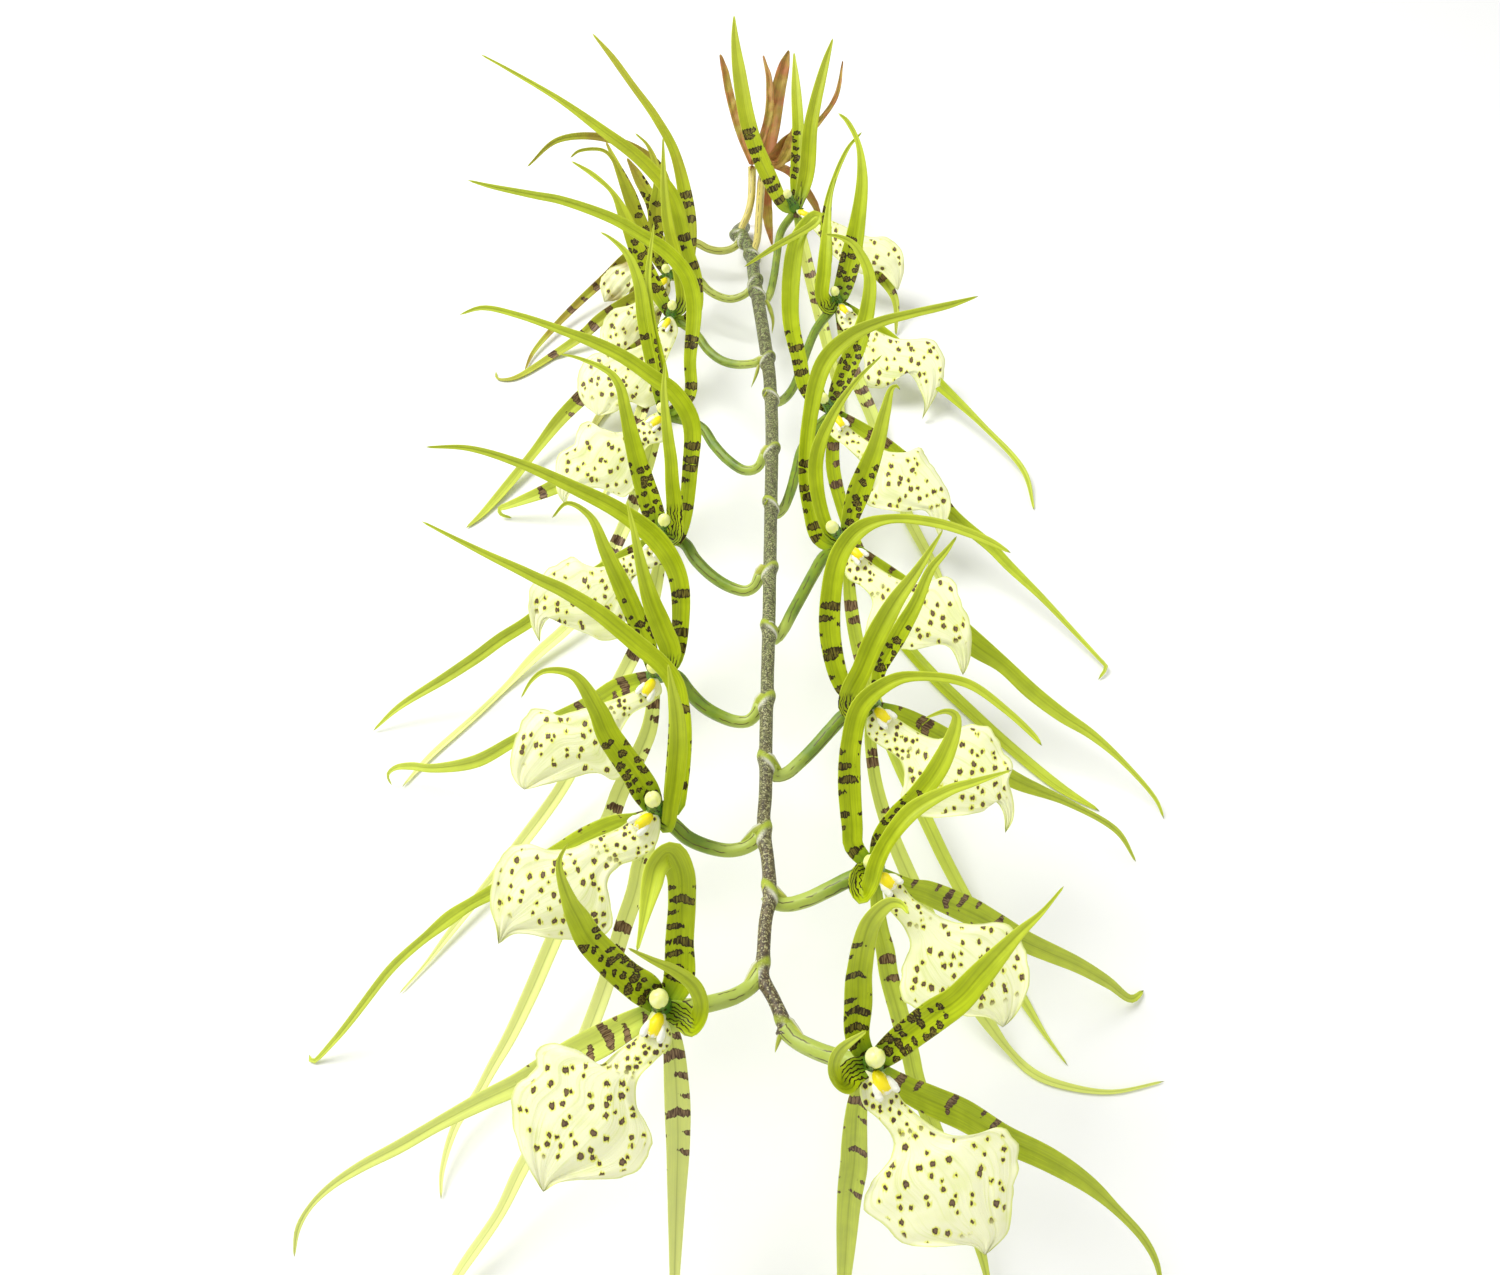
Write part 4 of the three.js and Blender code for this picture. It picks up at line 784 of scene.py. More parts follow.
            {"reach": 2, "line": [(778, 164, 8), (791, 143, 12), (796, 122, 2)]},
        ],
        "laterals": [
            {"reach": SURFACE, "line": [(768, 174, 9), (766, 187, 11), (768, 220, 9.5), (772, 245, 2)]},
            {"reach": SURFACE, "line": [(790, 172, 8), (815, 205, 7), (820, 222, 2)]},
        ],
    },
}


# ---- Curves ----

FINE_STEPS = 24  # of a curve from one knot to the next, before it is spaced evenly
LEAST_KNOT_GAP = 1e-4
LEAST_SPAN = 1e-12
STRAIGHT = ((0, 0), (1, 0))  # a roll that doesn't turn
CARRY = 3.0  # how strongly a ring keeps facing as the ring before it
FLATTENING_HEIGHT = 22 * MM  # a blade lower than this turns to lie flat on the surface


def smooth_line(points, count):
    """Evenly spaced points along a centripetal Catmull-Rom curve through the given points."""
    knots = [Vector(point) for point in points]
    knots = [2 * knots[0] - knots[1], *knots, 2 * knots[-1] - knots[-2]]
    fine = []
    for before, start, end, after in zip(knots, knots[1:], knots[2:], knots[3:]):
        pairs = ((before, start), (start, end), (end, after))
        gaps = [max(math.sqrt((b - a).length), LEAST_KNOT_GAP) for a, b in pairs]
        leave = knot_slope(before, start, end, gaps[0], gaps[1]) * gaps[1]
        arrive = knot_slope(start, end, after, gaps[1], gaps[2]) * gaps[1]
        fine += [hermite(start, end, leave, arrive, step / FINE_STEPS) for step in range(FINE_STEPS)]
    fine.append(knots[-2])
    return evenly(fine, count)


def knot_slope(before, at, after, gap_before, gap_after):
    whole = gap_before + gap_after
    return (at - before) / gap_before - (after - before) / whole + (after - at) / gap_after


def hermite(start, end, leave, arrive, t):
    return (
        start * (2 * t**3 - 3 * t**2 + 1) + leave * (t**3 - 2 * t**2 + t)
        + end * (3 * t**2 - 2 * t**3) + arrive * (t**3 - t**2)
    )


def running_lengths(points):
    lengths = [0.0]
    for a, b in zip(points, points[1:]):
        lengths.append(lengths[-1] + (b - a).length)
    return lengths


def evenly(points, count, end=1.0):
    """The given number of points, evenly spaced along a line as far as a share of its length."""
    lengths = running_lengths(points)
    spaced, k = [], 0
    for i in range(count):
        wanted = end * lengths[-1] * i / (count - 1)
        while k < len(points) - 2 and lengths[k + 1] < wanted:
            k += 1
        span = max(lengths[k + 1] - lengths[k], LEAST_SPAN)
        spaced.append(points[k].lerp(points[k + 1], min(1.0, (wanted - lengths[k]) / span)))
    return spaced


def lerp(a, b, t):
    return a + (b - a) * t


def clamp(value, low=0.0, high=1.0):
    return max(low, min(high, value))


def hump(distance, width):
    """A rounded hump: 1 in its middle, and near 0 from twice its width."""
    return math.exp(-(distance / width) ** 2)


def wave(*coordinates):
    """A smooth repeatable wobble between about -1 and 1."""
    return noise.noise(Vector(coordinates))


def table_value(table, t):
    """A value read from pairs of place and value, in a straight line from each pair to the next."""
    for (t0, value0), (t1, value1) in zip(table, table[1:]):
        if t <= t1:
            return lerp(value0, value1, clamp((t - t0) / (t1 - t0)))
    return table[-1][1]


def frames_along(points, roll=STRAIGHT):
    """The point, sideways direction and facing direction of each ring. A ring faces the station point, or
    straight up where it lies on the surface, and is turned about the line by the roll, in degrees."""
    rings, normal = [], None
    for i, point in enumerate(points):
        tangent = (points[min(i + 1, len(points) - 1)] - points[max(i - 1, 0)]).normalized()
        lying = clamp(1 - point.z / FLATTENING_HEIGHT)
        wanted = (STATION - point).normalized().lerp(Vector((0, 0, 1)), lying)
        if normal:
            wanted += normal * CARRY
        normal = (wanted - tangent * wanted.dot(tangent)).normalized()
        turned = Quaternion(tangent, math.radians(table_value(roll, i / (len(points) - 1)))) @ normal
        rings.append((point, tangent.cross(turned), turned))
    return rings


# ---- Skins ----

FLOOR_GAP = 0.1 * MM
MERGE_DISTANCE = 1e-6


def new_skin():
    """An empty bmesh with the pattern values that the materials read."""
    bm = bmesh.new()
    bm.verts.layers.float_vector.new("blade")
    bm.verts.layers.float_color.new("state")
    bm.verts.layers.float.new("fading")
    return bm


def set_fading(bm, flower):
    """Gives every vertex the share by which its flower has faded."""
    fading = bm.verts.layers.float["fading"]
    for vert in bm.verts:
        vert[fading] = flower.get("fading", 0.0)


def add_skin(bm, rows, around, shape, finish=0):
    """Adds a closed skin: a grid whose rows are rolled into rings and whose end rows are drawn to poles.
    shape(turn, row) gives a vertex's place, its place on the blade and the four numbers of its state."""
    made = bmesh.ops.create_grid(bm, x_segments=around, y_segments=rows, size=0.5)["verts"]
    for face in {face for vert in made for face in vert.link_faces}:
        face.smooth = True
        face.material_index = finish
    blade = bm.verts.layers.float_vector["blade"]
    state = bm.verts.layers.float_color["state"]
    for vert in made:
        place_at, on_blade, values = shape(vert.co.x + 0.5, round((vert.co.y + 0.5) * rows))
        vert.co = (place_at.x, place_at.y, max(place_at.z, FLOOR_GAP))
        vert[blade] = on_blade
        vert[state] = values
    bmesh.ops.remove_doubles(bm, verts=made, dist=MERGE_DISTANCE)


def flat_section(turn, row, rows):
    """How far to the side and to the front of a blade its skin lies, from -1 to 1. Its end rows are poles."""
    if row in (0, rows):
        return 0.0, 0.0
    return math.cos(2 * math.pi * turn), math.sin(2 * math.pi * turn)


def front_share(face):
    """1 on the front of a blade, which carries its pattern, and 0 on its back, with a soft change between."""
    return clamp(0.5 + 3 * face)


def round_point(ring, angle, radius):
    point, across, normal = ring
    return point + (across * math.cos(angle) + normal * math.sin(angle)) * radius


def add_piece(bm, name, finishes, node):
    """Turns a bmesh into a piece that rides on the body and stands for a CAD node."""
    bmesh.ops.recalc_face_normals(bm, faces=bm.faces)
    mesh = bpy.data.meshes.new(name)
    bm.to_mesh(mesh)
    bm.free()
    for finish in finishes:
        mesh.materials.append(finish)
    piece = bpy.data.objects.new(name, mesh)
    bpy.context.scene.collection.objects.link(piece)
    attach(piece, BODY)
    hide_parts(node)


# ---- Midlines in space ----

BOW = {"dorsal": 2 * MM, "petal": -3 * MM, "lateral": 6 * MM, "lip": -6 * MM}  # back, at an organ's middle
LIFT = {"dorsal": 0.0, "petal": 1 * MM, "lateral": -1 * MM, "lip": 3 * MM}  # forward, at its foot
DROOP = 1.4  # the power that makes an organ leave the depth of its heart late along its length
ARCH_POWER = 0.65  # brings an arched petal farthest forward a third of the way along
ROWS = {"dorsal": 72, "petal": 60, "lateral": 72, "lip": 60, "stalk": 36, "stem": 900}  # of faces, along it
TEPAL_CLEARANCE = 0.9 * MM
FOOT_WIDTH = 0.62  # how wide a tepal is in the heart, as a share of the first width of its layout
YOUNG_DEPTH = 330 * MM  # a flower nearer than this has the bands and spots of a young one
PATTERN_GROWTH = 0.6  # the power by which bands and spots grow with the depth of their flower


def flower_depth(flower):
    return flower["depth"] * MM if "depth" in flower else heart_depth(flower["heart"][1])


def pattern_scale(flower):
    """How far the pattern of a flower is drawn together: the older flowers have larger bands and spots."""
    return min(1.0, (YOUNG_DEPTH / flower_depth(flower)) ** PATTERN_GROWTH)


def midline(flower, organ, kind):
    """Points along a tepal, and half its width at each. It leaves the heart, bows away in the middle and ends
    at its reach."""
    rows = ROWS[kind]
    start = flower_depth(flower) - LIFT[kind]
    if organ["reach"] is SURFACE:
        end = surface_depth(*organ["line"][-1][:2], TEPAL_CLEARANCE)
    else:
        end = flower_depth(flower) - organ["reach"] * MM
    foot = (*flower["heart"], FOOT_WIDTH * organ["line"][0][2])
    points, halves = [], []
    for i, (x, y, width) in enumerate(smooth_line([foot, *organ["line"]], rows + 1)):
        t = i / rows
        depth = lerp(start, end, t**DROOP) + BOW[kind] * math.sin(math.pi * t)
        depth -= organ.get("arch", 0) * MM * math.sin(math.pi * t**ARCH_POWER)
        depth = min(depth, surface_depth(x, y, TEPAL_CLEARANCE))
        points.append(place(x, y, depth))
        halves.append(width * depth / SHEET_DISTANCE / 2)
    return points, halves


# ---- Tepals ----

TEPAL_AROUND = 16
TWIST = (16, 22)  # the most that a tepal turns at its foot and at its tip, in degrees
THINS_BELOW = 1.9 * MM  # a tepal thins where half its width is less than this
EDGE_WANDER = 0.03  # how far a tepal's edge strays, as a share of the half width
MIDRIB_WIDTH = 0.13  # of the half width
MIDRIB_GROOVE = 0.22 * MM
MIDRIB_KEEL = 1.3  # how far the midrib stands out behind, against its groove in front
CRINKLE = 1.2 * MM  # of a withered tepal
LATERAL_TONES = {-1: (0.1, 1.0), 1: (0.05, 0.45)}  # by the stalk's side: how pale each lower sepal is
PETAL_SEEDS, LATERAL_SEEDS = (0.21, 0.42), (0.57, 0.7)  # past the flower's own seed


def gutter(side):
    """How far a folded blade stands forward across its width: behind its midline in the middle, before it at
    the edges."""
    return 0.75 * abs(side) + 0.25 * side * side - 0.45


def add_tepal(bm, flower, organ, kind, sizes, seed, finish, tone, age):
    """Adds one sepal or petal. The tone stands where the layout gives the organ none."""
    points, halves = midline(flower, organ, kind)
    rows = len(points) - 1
    lengths = running_lengths(points)
    rings = frames_along(points, ((0, TWIST[0] * wave(seed, 3.1, 0)), (1, TWIST[1] * wave(seed, 7.7, 1))))
    half_thickness = sizes.tepal_thickness / 2
    tone = organ.get("tone", tone)
    drawn = pattern_scale(flower)

    def shape(turn, row):
        point, across, normal = rings[row]
        t = row / rows
        side, face = flat_section(turn, row, rows)
        half = sizes.tepal_fullness * halves[row] * (1 + EDGE_WANDER * wave(seed, 9 * t, side))
        thinned = min(1.0, half / THINS_BELOW)
        groove = MIDRIB_GROOVE * thinned * hump(side, MIDRIB_WIDTH) * (1 if face >= 0 else MIDRIB_KEEL)
        lifted = sizes.tepal_fold * half * gutter(side) + face * half_thickness * thinned - groove
        crinkle = age * CRINKLE * wave(seed, 14 * t, 2 * side)
        at = point + across * (side * half) + normal * (lifted + crinkle)
        on_blade = (side * half * drawn, lengths[row] * drawn, seed)
        return at, on_blade, (t, front_share(face), abs(side), tone)

    add_skin(bm, rows, TEPAL_AROUND, shape, finish)


def tepal_pieces(flower, sizes, seed, age=0.0):
    """One skin for each of the flower's sepals and petals."""
    bm = new_skin()
    tones = LATERAL_TONES[stalk_side(flower)]
    add_tepal(bm, flower, flower["dorsal"], "dorsal", sizes, seed, 0, 0.0, age)
    for petal, further in zip(flower["petals"], PETAL_SEEDS):
        add_tepal(bm, flower, petal, "petal", sizes, seed + further, 1, 0.0, age)
    for sepal, further, tone in zip(flower["laterals"], LATERAL_SEEDS, tones):
        add_tepal(bm, flower, sepal, "lateral", sizes, seed + further, 2, tone, age)
    set_fading(bm, flower)
    return bm


# ---- Lips ----

LIP_AROUND = 48
LIP_ROOT = 0.35  # how wide the lip's root is, as a share of its neck
LIP_END = 0.995  # the last ring of the lip, just short of its pointed tip
LIP_CURL = 0.07  # how far the lip's edges fall back, as a share of its width
LIP_FRILL = 0.05  # how far the margin wanders, as a share of the half width
LIP_RUFFLE_GAIN = 2.2  # brings the margin's waves up to their full height
LIP_BILLOW = 0.35  # the height of the slow waves over the blade, against the margin's
LIP_CREASES = (-0.52, 0.04, 0.5)  # places across the blade
LIP_CREASE_DEPTH = 0.8 * MM
LIP_CREASE_WIDTH = 0.07
LIP_MARGIN = 10 * MM  # the distance from the edge that the lip's state counts as 1


def lip_edges(flower, rows):
    """The lip's two edges on the sheet, from a narrow root in the heart round to its tip."""
    heart = Vector(flower["heart"])
    upper, lower = (Vector(flower["lip"][side][0]) for side in ("upper", "lower"))
    middle = (upper + lower) / 2
    edges = []
    for side, neck in (("upper", upper), ("lower", lower)):
        line = [heart + LIP_ROOT * (neck - middle), *flower["lip"][side]]
        edges.append(evenly(smooth_line(line, 4 * rows), rows + 1, LIP_END))
    return edges


def lip_surface(flower, edges, sizes, seed, rows):
    """A function that gives the lip's middle surface at a row and a place across it, from -1 to 1."""
    upper, lower = edges
    start = flower_depth(flower) - LIFT["lip"]
    reach = flower["lip"]["reach"] * MM

    def at(row, side):
        t = row / rows
        spread = 1 + LIP_FRILL * side**4 * wave(3 * seed, 24 * t, 2 * side) * clamp(6 * t - 1)
        x, y = lower[row].lerp(upper[row], (1 + side * spread) / 2)
        depth = start - reach * t**DROOP + BOW["lip"] * math.sin(math.pi * t)
        width = (upper[row] - lower[row]).length * depth / SHEET_DISTANCE
        depth += LIP_CURL * width * (0.3 * abs(side) + 0.9 * side**2)
        ruffle = abs(side) ** 3 * clamp(4 * t) * wave(seed, 8 * t, 3 * side) * LIP_RUFFLE_GAIN
        billow = LIP_BILLOW * wave(2 * seed, 3 * t, 2.5 * side + 5) * clamp(3 * t)
        depth += sizes.lip_ruffle * (ruffle + billow)
        for crease in LIP_CREASES:
            depth += LIP_CREASE_DEPTH * hump(side - crease, LIP_CREASE_WIDTH) * clamp(3 * t - 0.6)
        return x, y, depth

    return at


def lip_skin(bm, flower, sizes, seed):
    rows = ROWS["lip"]
    upper, lower = edges = lip_edges(flower, rows)
    at = lip_surface(flower, edges, sizes, seed, rows)
    heart = Vector(flower["heart"])

    def shape(turn, row):
        side, face = flat_section(turn, row, rows)
        x, y, depth = at(row, side)
        point = place(x, y, depth - face * sizes.lip_thickness / 2, TEPAL_CLEARANCE)
        scale = depth / SHEET_DISTANCE
        drawn = scale * pattern_scale(flower)
        margin = (1 - abs(side)) * (upper[row] - lower[row]).length * scale / 2
        on_blade = ((x - heart.x) * drawn, (y - heart.y) * drawn, seed)
        return point, on_blade, (row / rows, front_share(face), margin / LIP_MARGIN, (1 + side) / 2)

    add_skin(bm, rows, LIP_AROUND, shape)


CALLUS_ROWS, CALLUS_AROUND = 22, 14
CALLUS_RIDGES = (  # place across, half width and height in mm, start and length as shares, and gilding
    (-2.2, 1.2, 1.5, 0.34, 0.66, 0.0),
    (0.0, 2.15, 2.1, 0.0, 0.9, 1.0),
    (2.2, 1.2, 1.5, 0.34, 0.66, 0.0),
)
CALLUS_START = 0.15  # how far from the heart the callus begins, as a share of its length
CALLUS_LIFT = 2.2 * MM  # how far its foot stands forward of the lip's root
CALLUS_RISE = 4.2 * MM  # how far it comes forward with the lip
CALLUS_STRAY = 0.25 * MM
TOOTH_PLACE, TOOTH_WIDTH, TOOTH_HEIGHT = 0.85, 0.1, 0.35  # along a keel, and against its height


def callus_skins(bm, flower, sizes, seed):
    """A golden crest between two white keels that run on past it and end in teeth."""
    heart = Vector(flower["heart"])
    upper, lower = flower["lip"]["upper"], flower["lip"]["lower"]
    along = ((Vector(upper[0]) + Vector(upper[1]) + Vector(lower[0])) / 3 - heart).normalized()
    beside = Vector((-along.y, along.x))
    depth = flower_depth(flower)
    scale = SHEET_DISTANCE / depth
    rows = CALLUS_ROWS
    for across, half_width, tall, start, run, gilding in CALLUS_RIDGES:
        def shape(turn, row):
            t = row / rows
            angle = 2 * math.pi * turn
            swell = math.sin(math.pi * clamp(t, 0.02, 1)) ** 0.4 if row not in (0, rows) else 0.0
            half = half_width * (0.85 + 0.3 * t) * MM * swell
            far = start + run * t
            aside = across * (0.75 + 0.45 * far) * MM + half * math.cos(angle)
            aside += CALLUS_STRAY * wave(seed + across, 5 * t, 0) * swell
            ahead = sizes.callus_length * scale * (CALLUS_START + far)
            sheet = heart + along * ahead + beside * (aside * scale)
            tooth = 1 + TOOTH_HEIGHT * hump(t - TOOTH_PLACE, TOOTH_WIDTH) * (1 - gilding)
            height = tall * tooth * MM * swell * math.sin(angle)
            level = depth - LIFT["lip"] - CALLUS_LIFT - CALLUS_RISE * far * (1 - 0.4 * far) - height
            on_blade = (half * math.cos(angle), far * sizes.callus_length, seed)
            return place(sheet.x, sheet.y, level), on_blade, (far, gilding, 0, 0)

        add_skin(bm, rows, CALLUS_AROUND, shape, 1)


# ---- Column and anther cap ----

COLUMN_ROWS, COLUMN_AROUND = 24, 18
COLUMN_BEHIND = 1.5 * MM  # how far behind the heart the column's foot lies
COLUMN_REACH = 8 * MM  # how far its top stands forward of the heart
COLUMN_PROFILE = (  # share of the length and radius in mm
    (0, 0), (0.02, 3.0), (0.15, 3.5), (0.35, 3.0), (0.6, 2.3), (0.85, 2.4), (0.98, 2.6), (1, 0),
)
COLUMN_FLATNESS = 0.06
COLUMN_GIRTH = 16 * MM
CAP_ROWS, CAP_AROUND = 18, 24
CAP_LENGTH = 1.22  # half an anther cap's length, in radii
CAP_AHEAD = 0.6 * MM  # how far the cap's centre lies past the column's end
CAP_SEAM = 0.1  # the depth of the seam down the cap, as a share of its radius
CAP_SEAM_WIDTH = 0.12
CAP_RUN = 0.4 * MM  # from ring to ring of the cap's pattern
CAP_PLACE = Vector((-2, -7))  # from the heart on the sheet, where the layout gives no cap


def column_skins(bm, flower, sizes, seed):
    depth = flower_depth(flower)
    foot = place(*flower["heart"], depth + COLUMN_BEHIND)
    top = place(*flower.get("cap", Vector(flower["heart"]) + CAP_PLACE), depth - COLUMN_REACH)
    rows = COLUMN_ROWS
    rings = frames_along([foot.lerp(top, i / rows) for i in range(rows + 1)])

    def body(turn, row):
        t = row / rows
        angle = 2 * math.pi * turn
        radius = table_value(COLUMN_PROFILE, t) * MM * (1 + COLUMN_FLATNESS * math.cos(2 * angle))
        on_blade = (turn * COLUMN_GIRTH, t * (top - foot).length, seed)
        return round_point(rings[row], angle, radius), on_blade, (t, 0, 0, 0)

    add_skin(bm, rows, COLUMN_AROUND, body)
    axis = (top - foot).normalized()
    across, normal = rings[-1][1:]
    centre = top + axis * CAP_AHEAD

    def cap(turn, row):
        polar, angle = math.pi * row / CAP_ROWS, 2 * math.pi * turn
        sideways = math.sin(polar) if row not in (0, CAP_ROWS) else 0.0
        direction = across * (math.cos(angle) * sideways) + normal * (math.sin(angle) * sideways)
        radius = sizes.cap_radius * (1 - CAP_SEAM * hump(math.cos(angle), CAP_SEAM_WIDTH) * sideways)
        at = centre + direction * radius + axis * (-math.cos(polar) * sizes.cap_radius * CAP_LENGTH)
        return at, (turn * COLUMN_GIRTH, row * CAP_RUN, seed), (row / CAP_ROWS, 1, 0, 0)

    add_skin(bm, CAP_ROWS, CAP_AROUND, cap, 1)


# ---- Stalks ----

STALK_AROUND = 24
STALK_BEHIND = 8 * MM  # how far behind the heart a stalk comes up
STALK_HOOKS_AT = 0.8  # where along it a stalk turns forward to the heart
STALK_PALES = 30 * MM  # the length over which a stalk turns from pale to green
STALK_GIRTH = 15 * MM
STALK_FOOT = 3.5 * MM  # the length of its swollen foot
STALK_FOOT_SWELLING = 0.22
STALK_RIBS = 6
STALK_RIB_HEIGHT = 0.045  # of the radius


def stem_depth(y):
    toward_tip = clamp((y - STEM_LINE[-1][1]) / (STEM_LINE[0][1] - STEM_LINE[-1][1]))
    return heart_depth(y) + lerp(STEM_BEHIND_CUT, STEM_BEHIND_TIP, toward_tip)


def node_point(flower):
    return place(*flower["node"], stem_depth(flower["node"][1]))


def stalk_side(flower):
    """1 where a flower's stalk leaves the stem to the right, -1 where it leaves to the left."""
    return 1 if flower["heart"][0] > flower["node"][0] else -1


def stalk_midline(flower, clearance, rows):
    points = []
    line = [flower["node"], *flower["stalk"], flower["heart"]]
    for i, (x, y) in enumerate(smooth_line(line, rows + 1)):
        t = i / rows
        level = lerp(stem_depth(flower["node"][1]), flower_depth(flower) + STALK_BEHIND, t)
        hook = STALK_BEHIND / 2 * max(0.0, (t - STALK_HOOKS_AT) / (1 - STALK_HOOKS_AT)) ** 2
        points.append(place(x, y, level - hook, clearance))
    return points


def stalk_skin(bm, flower, sizes, seed, age):
    rows = ROWS["stalk"]
    points = stalk_midline(flower, sizes.stalk_radius, rows)
    rings = frames_along(points)
    lengths = running_lengths(points)
    pales = STALK_PALES * flower.get("pale_stalk", 1.0)

    def shape(turn, row):
        t = row / rows
        angle = 2 * math.pi * turn
        radius = lerp(sizes.stalk_radius, sizes.ovary_radius, t) if row not in (0, rows) else 0.0
        radius *= 1 + STALK_FOOT_SWELLING * hump(lengths[row], STALK_FOOT)
        radius *= 1 + STALK_RIB_HEIGHT * math.cos(STALK_RIBS * angle + 2 * t + seed) * clamp(3 * t)
        on_blade = (turn * STALK_GIRTH, lengths[row], seed)
        return round_point(rings[row], angle, radius), on_blade, (t, turn, lengths[row] / pales, age)

    add_skin(bm, rows, STALK_AROUND, shape)


# ---- Stem ----

STEM_AROUND = 24
STEM_GIRTH = 20 * MM
STEM_SEED = 0.5
STEM_UNEVENNESS = 0.03  # of the radius
CUT_CLEARANCE = 0.4 * MM
NODE_SWELLING = 0.3  # of the radius
NODE_REACH = 3.15 * MM  # how far along the stem a node's swelling reaches
COLLAR_SLANT = 1.1  # how far a collar dips toward its stalk, against the stem's radius
COLLAR_PLACE, COLLAR_REACH, COLLAR_HEIGHT = 0.9 * MM, 1.7 * MM, 0.07  # past the node, and of the radius
CRESCENT_PLACE, CRESCENT_REACH = -1.1 * MM, 0.75 * MM  # the white line beside a collar, toward the tip


def stem_skin(bm, sizes):
    """The stem. It swells at each node, where it has a slanting green collar and a white crescent."""
    line = [place(x, y, stem_depth(y)) for x, y in STEM_LINE]
    line.append(place(*CUT_END, math.inf, sizes.cut_radius + CUT_CLEARANCE))
    rows = ROWS["stem"]
    points = smooth_line(line, rows + 1)
    rings = frames_along(points)
    lengths = running_lengths(points)
    nodes = []
    for flower in FLOWERS.values():
        at_node = node_point(flower)
        nearest = min(range(rows + 1), key=lambda i: (points[i] - at_node).length)
        nodes.append((lengths[nearest], stalk_side(flower)))

    def shape(turn, row):
        t = row / rows
        angle = 2 * math.pi * turn
        node, beside = min(nodes, key=lambda pair: abs(lengths[row] - pair[0]))
        radius = lerp(sizes.tip_radius, sizes.cut_radius, t) if row not in (0, rows) else 0.0
        toward_stalk = beside * math.cos(angle)
        offset = lengths[row] - node + COLLAR_SLANT * radius * toward_stalk
        collar = math.exp(-((offset - COLLAR_PLACE) / COLLAR_REACH) ** 4)
        crescent = hump(offset - CRESCENT_PLACE, CRESCENT_REACH) * clamp(0.6 + toward_stalk)
        radius *= 1 + NODE_SWELLING * hump(offset, NODE_REACH) + COLLAR_HEIGHT * collar
        radius *= 1 + STEM_UNEVENNESS * wave(60 * t, 2 * math.cos(angle), 4)
        on_blade = (turn * STEM_GIRTH, lengths[row], STEM_SEED)
        return round_point(rings[row], angle, radius), on_blade, (t, 0, collar, crescent)

    add_skin(bm, rows, STEM_AROUND, shape)


# ---- Bracts ----

BRACT_ROWS, BRACT_AROUND = 16, 12
BRACT_OUTLINE = ((0, 0.0), (0.06, 0.75), (0.3, 1.0), (0.6, 0.7), (0.85, 0.35), (1, 0.0))
BRACT_THICKNESS = 0.7 * MM
BRACT_WRAP = 0.45  # how far its edges fall back, against half its width
SCALE_LENGTH = 8.5 * MM
SCALE_WIDTH = 5.2 * MM
SCALE_FOOT = ((2.2 * MM, -0.6, 0.9), (1.6 * MM, 0.8, 0.8))  # up the stem, and aside and forward in its radii
SCALE_TIP = (0.7, 0.5)  # up the stem and forward, in the stalk's radii
SCALE_STEPS = 30  # along the stalk, to find where the scale ends
UP_STEM = 20  # a step toward the cut on the sheet, to find which way the stem runs
LONG_BRACTS = [  # points on the sheet, from the stem to the tip, and the width at the foot
    ([(759, 364), (756, 375), (751, 388)], 2.2 * MM),
    ([(766, 299), (770.5, 310), (773, 321), (772, 334)], 3.2 * MM),
    ([(782, 1031), (778, 1042), (775, 1053)], 1.8 * MM),
]
LONG_BRACT_LIFT = 1.5 * MM


def scale_skin(bm, flower, sizes, seed):
    """The scale that clasps the stem at a node and tapers along the upper side of the stalk."""
    foot = node_point(flower)
    x, y = flower["node"]
    up_stem = (place(x, y - UP_STEM, stem_depth(y - UP_STEM)) - foot).normalized()
    stalk = stalk_midline(flower, sizes.stalk_radius, SCALE_STEPS)
    far = next(point for point, run in zip(stalk, running_lengths(stalk)) if run > SCALE_LENGTH)
    aside = (far - foot).normalized()
    forward = (STATION - foot).normalized()
    toward_cut = clamp((STEM_LINE[0][1] - y) / (STEM_LINE[0][1] - STEM_LINE[-1][1]))
    stem = lerp(sizes.tip_radius, sizes.cut_radius, toward_cut)
    line = [
        foot + up_stem * up + aside * (side * stem) + forward * (ahead * stem)
        for up, side, ahead in SCALE_FOOT
    ]
    line.append(far + (up_stem * SCALE_TIP[0] + forward * SCALE_TIP[1]) * sizes.stalk_radius)
    bract_skin(bm, line, SCALE_WIDTH, seed)


def long_bract_skin(bm, line, width, seed):
    start = stem_depth(line[0][1]) - LONG_BRACT_LIFT
    bract_skin(bm, [place(x, y, start, BRACT_THICKNESS) for x, y in line], width, seed)


def bract_skin(bm, line, width, seed):
    rows = BRACT_ROWS
    points = smooth_line(line, rows + 1)
    rings = frames_along(points)
    lengths = running_lengths(points)

    def shape(turn, row):
        point, across, normal = rings[row]
        t = row / rows
        side, face = flat_section(turn, row, rows)
        half = width / 2 * table_value(BRACT_OUTLINE, t)
        lifted = face * BRACT_THICKNESS / 2 - BRACT_WRAP * half * side**2
        at = point + across * (side * half) + normal * lifted
        return at, (side * half, lengths[row], seed), (t, 0, abs(side), 0)

    add_skin(bm, rows, BRACT_AROUND, shape, 1)


# ---- Building shaders ----
# A step runs smoothly from low to high as its value goes from start to end. Noise is sampled per metre.

FLOAT, VECTOR = "NodeSocketFloat", "NodeSocketVector"
FLESH_RADIUS = (1.0, 0.9, 0.3)  # how far red, green and blue light runs in the flesh, in shares
FLESH_DEPTH = 1.2 * MM


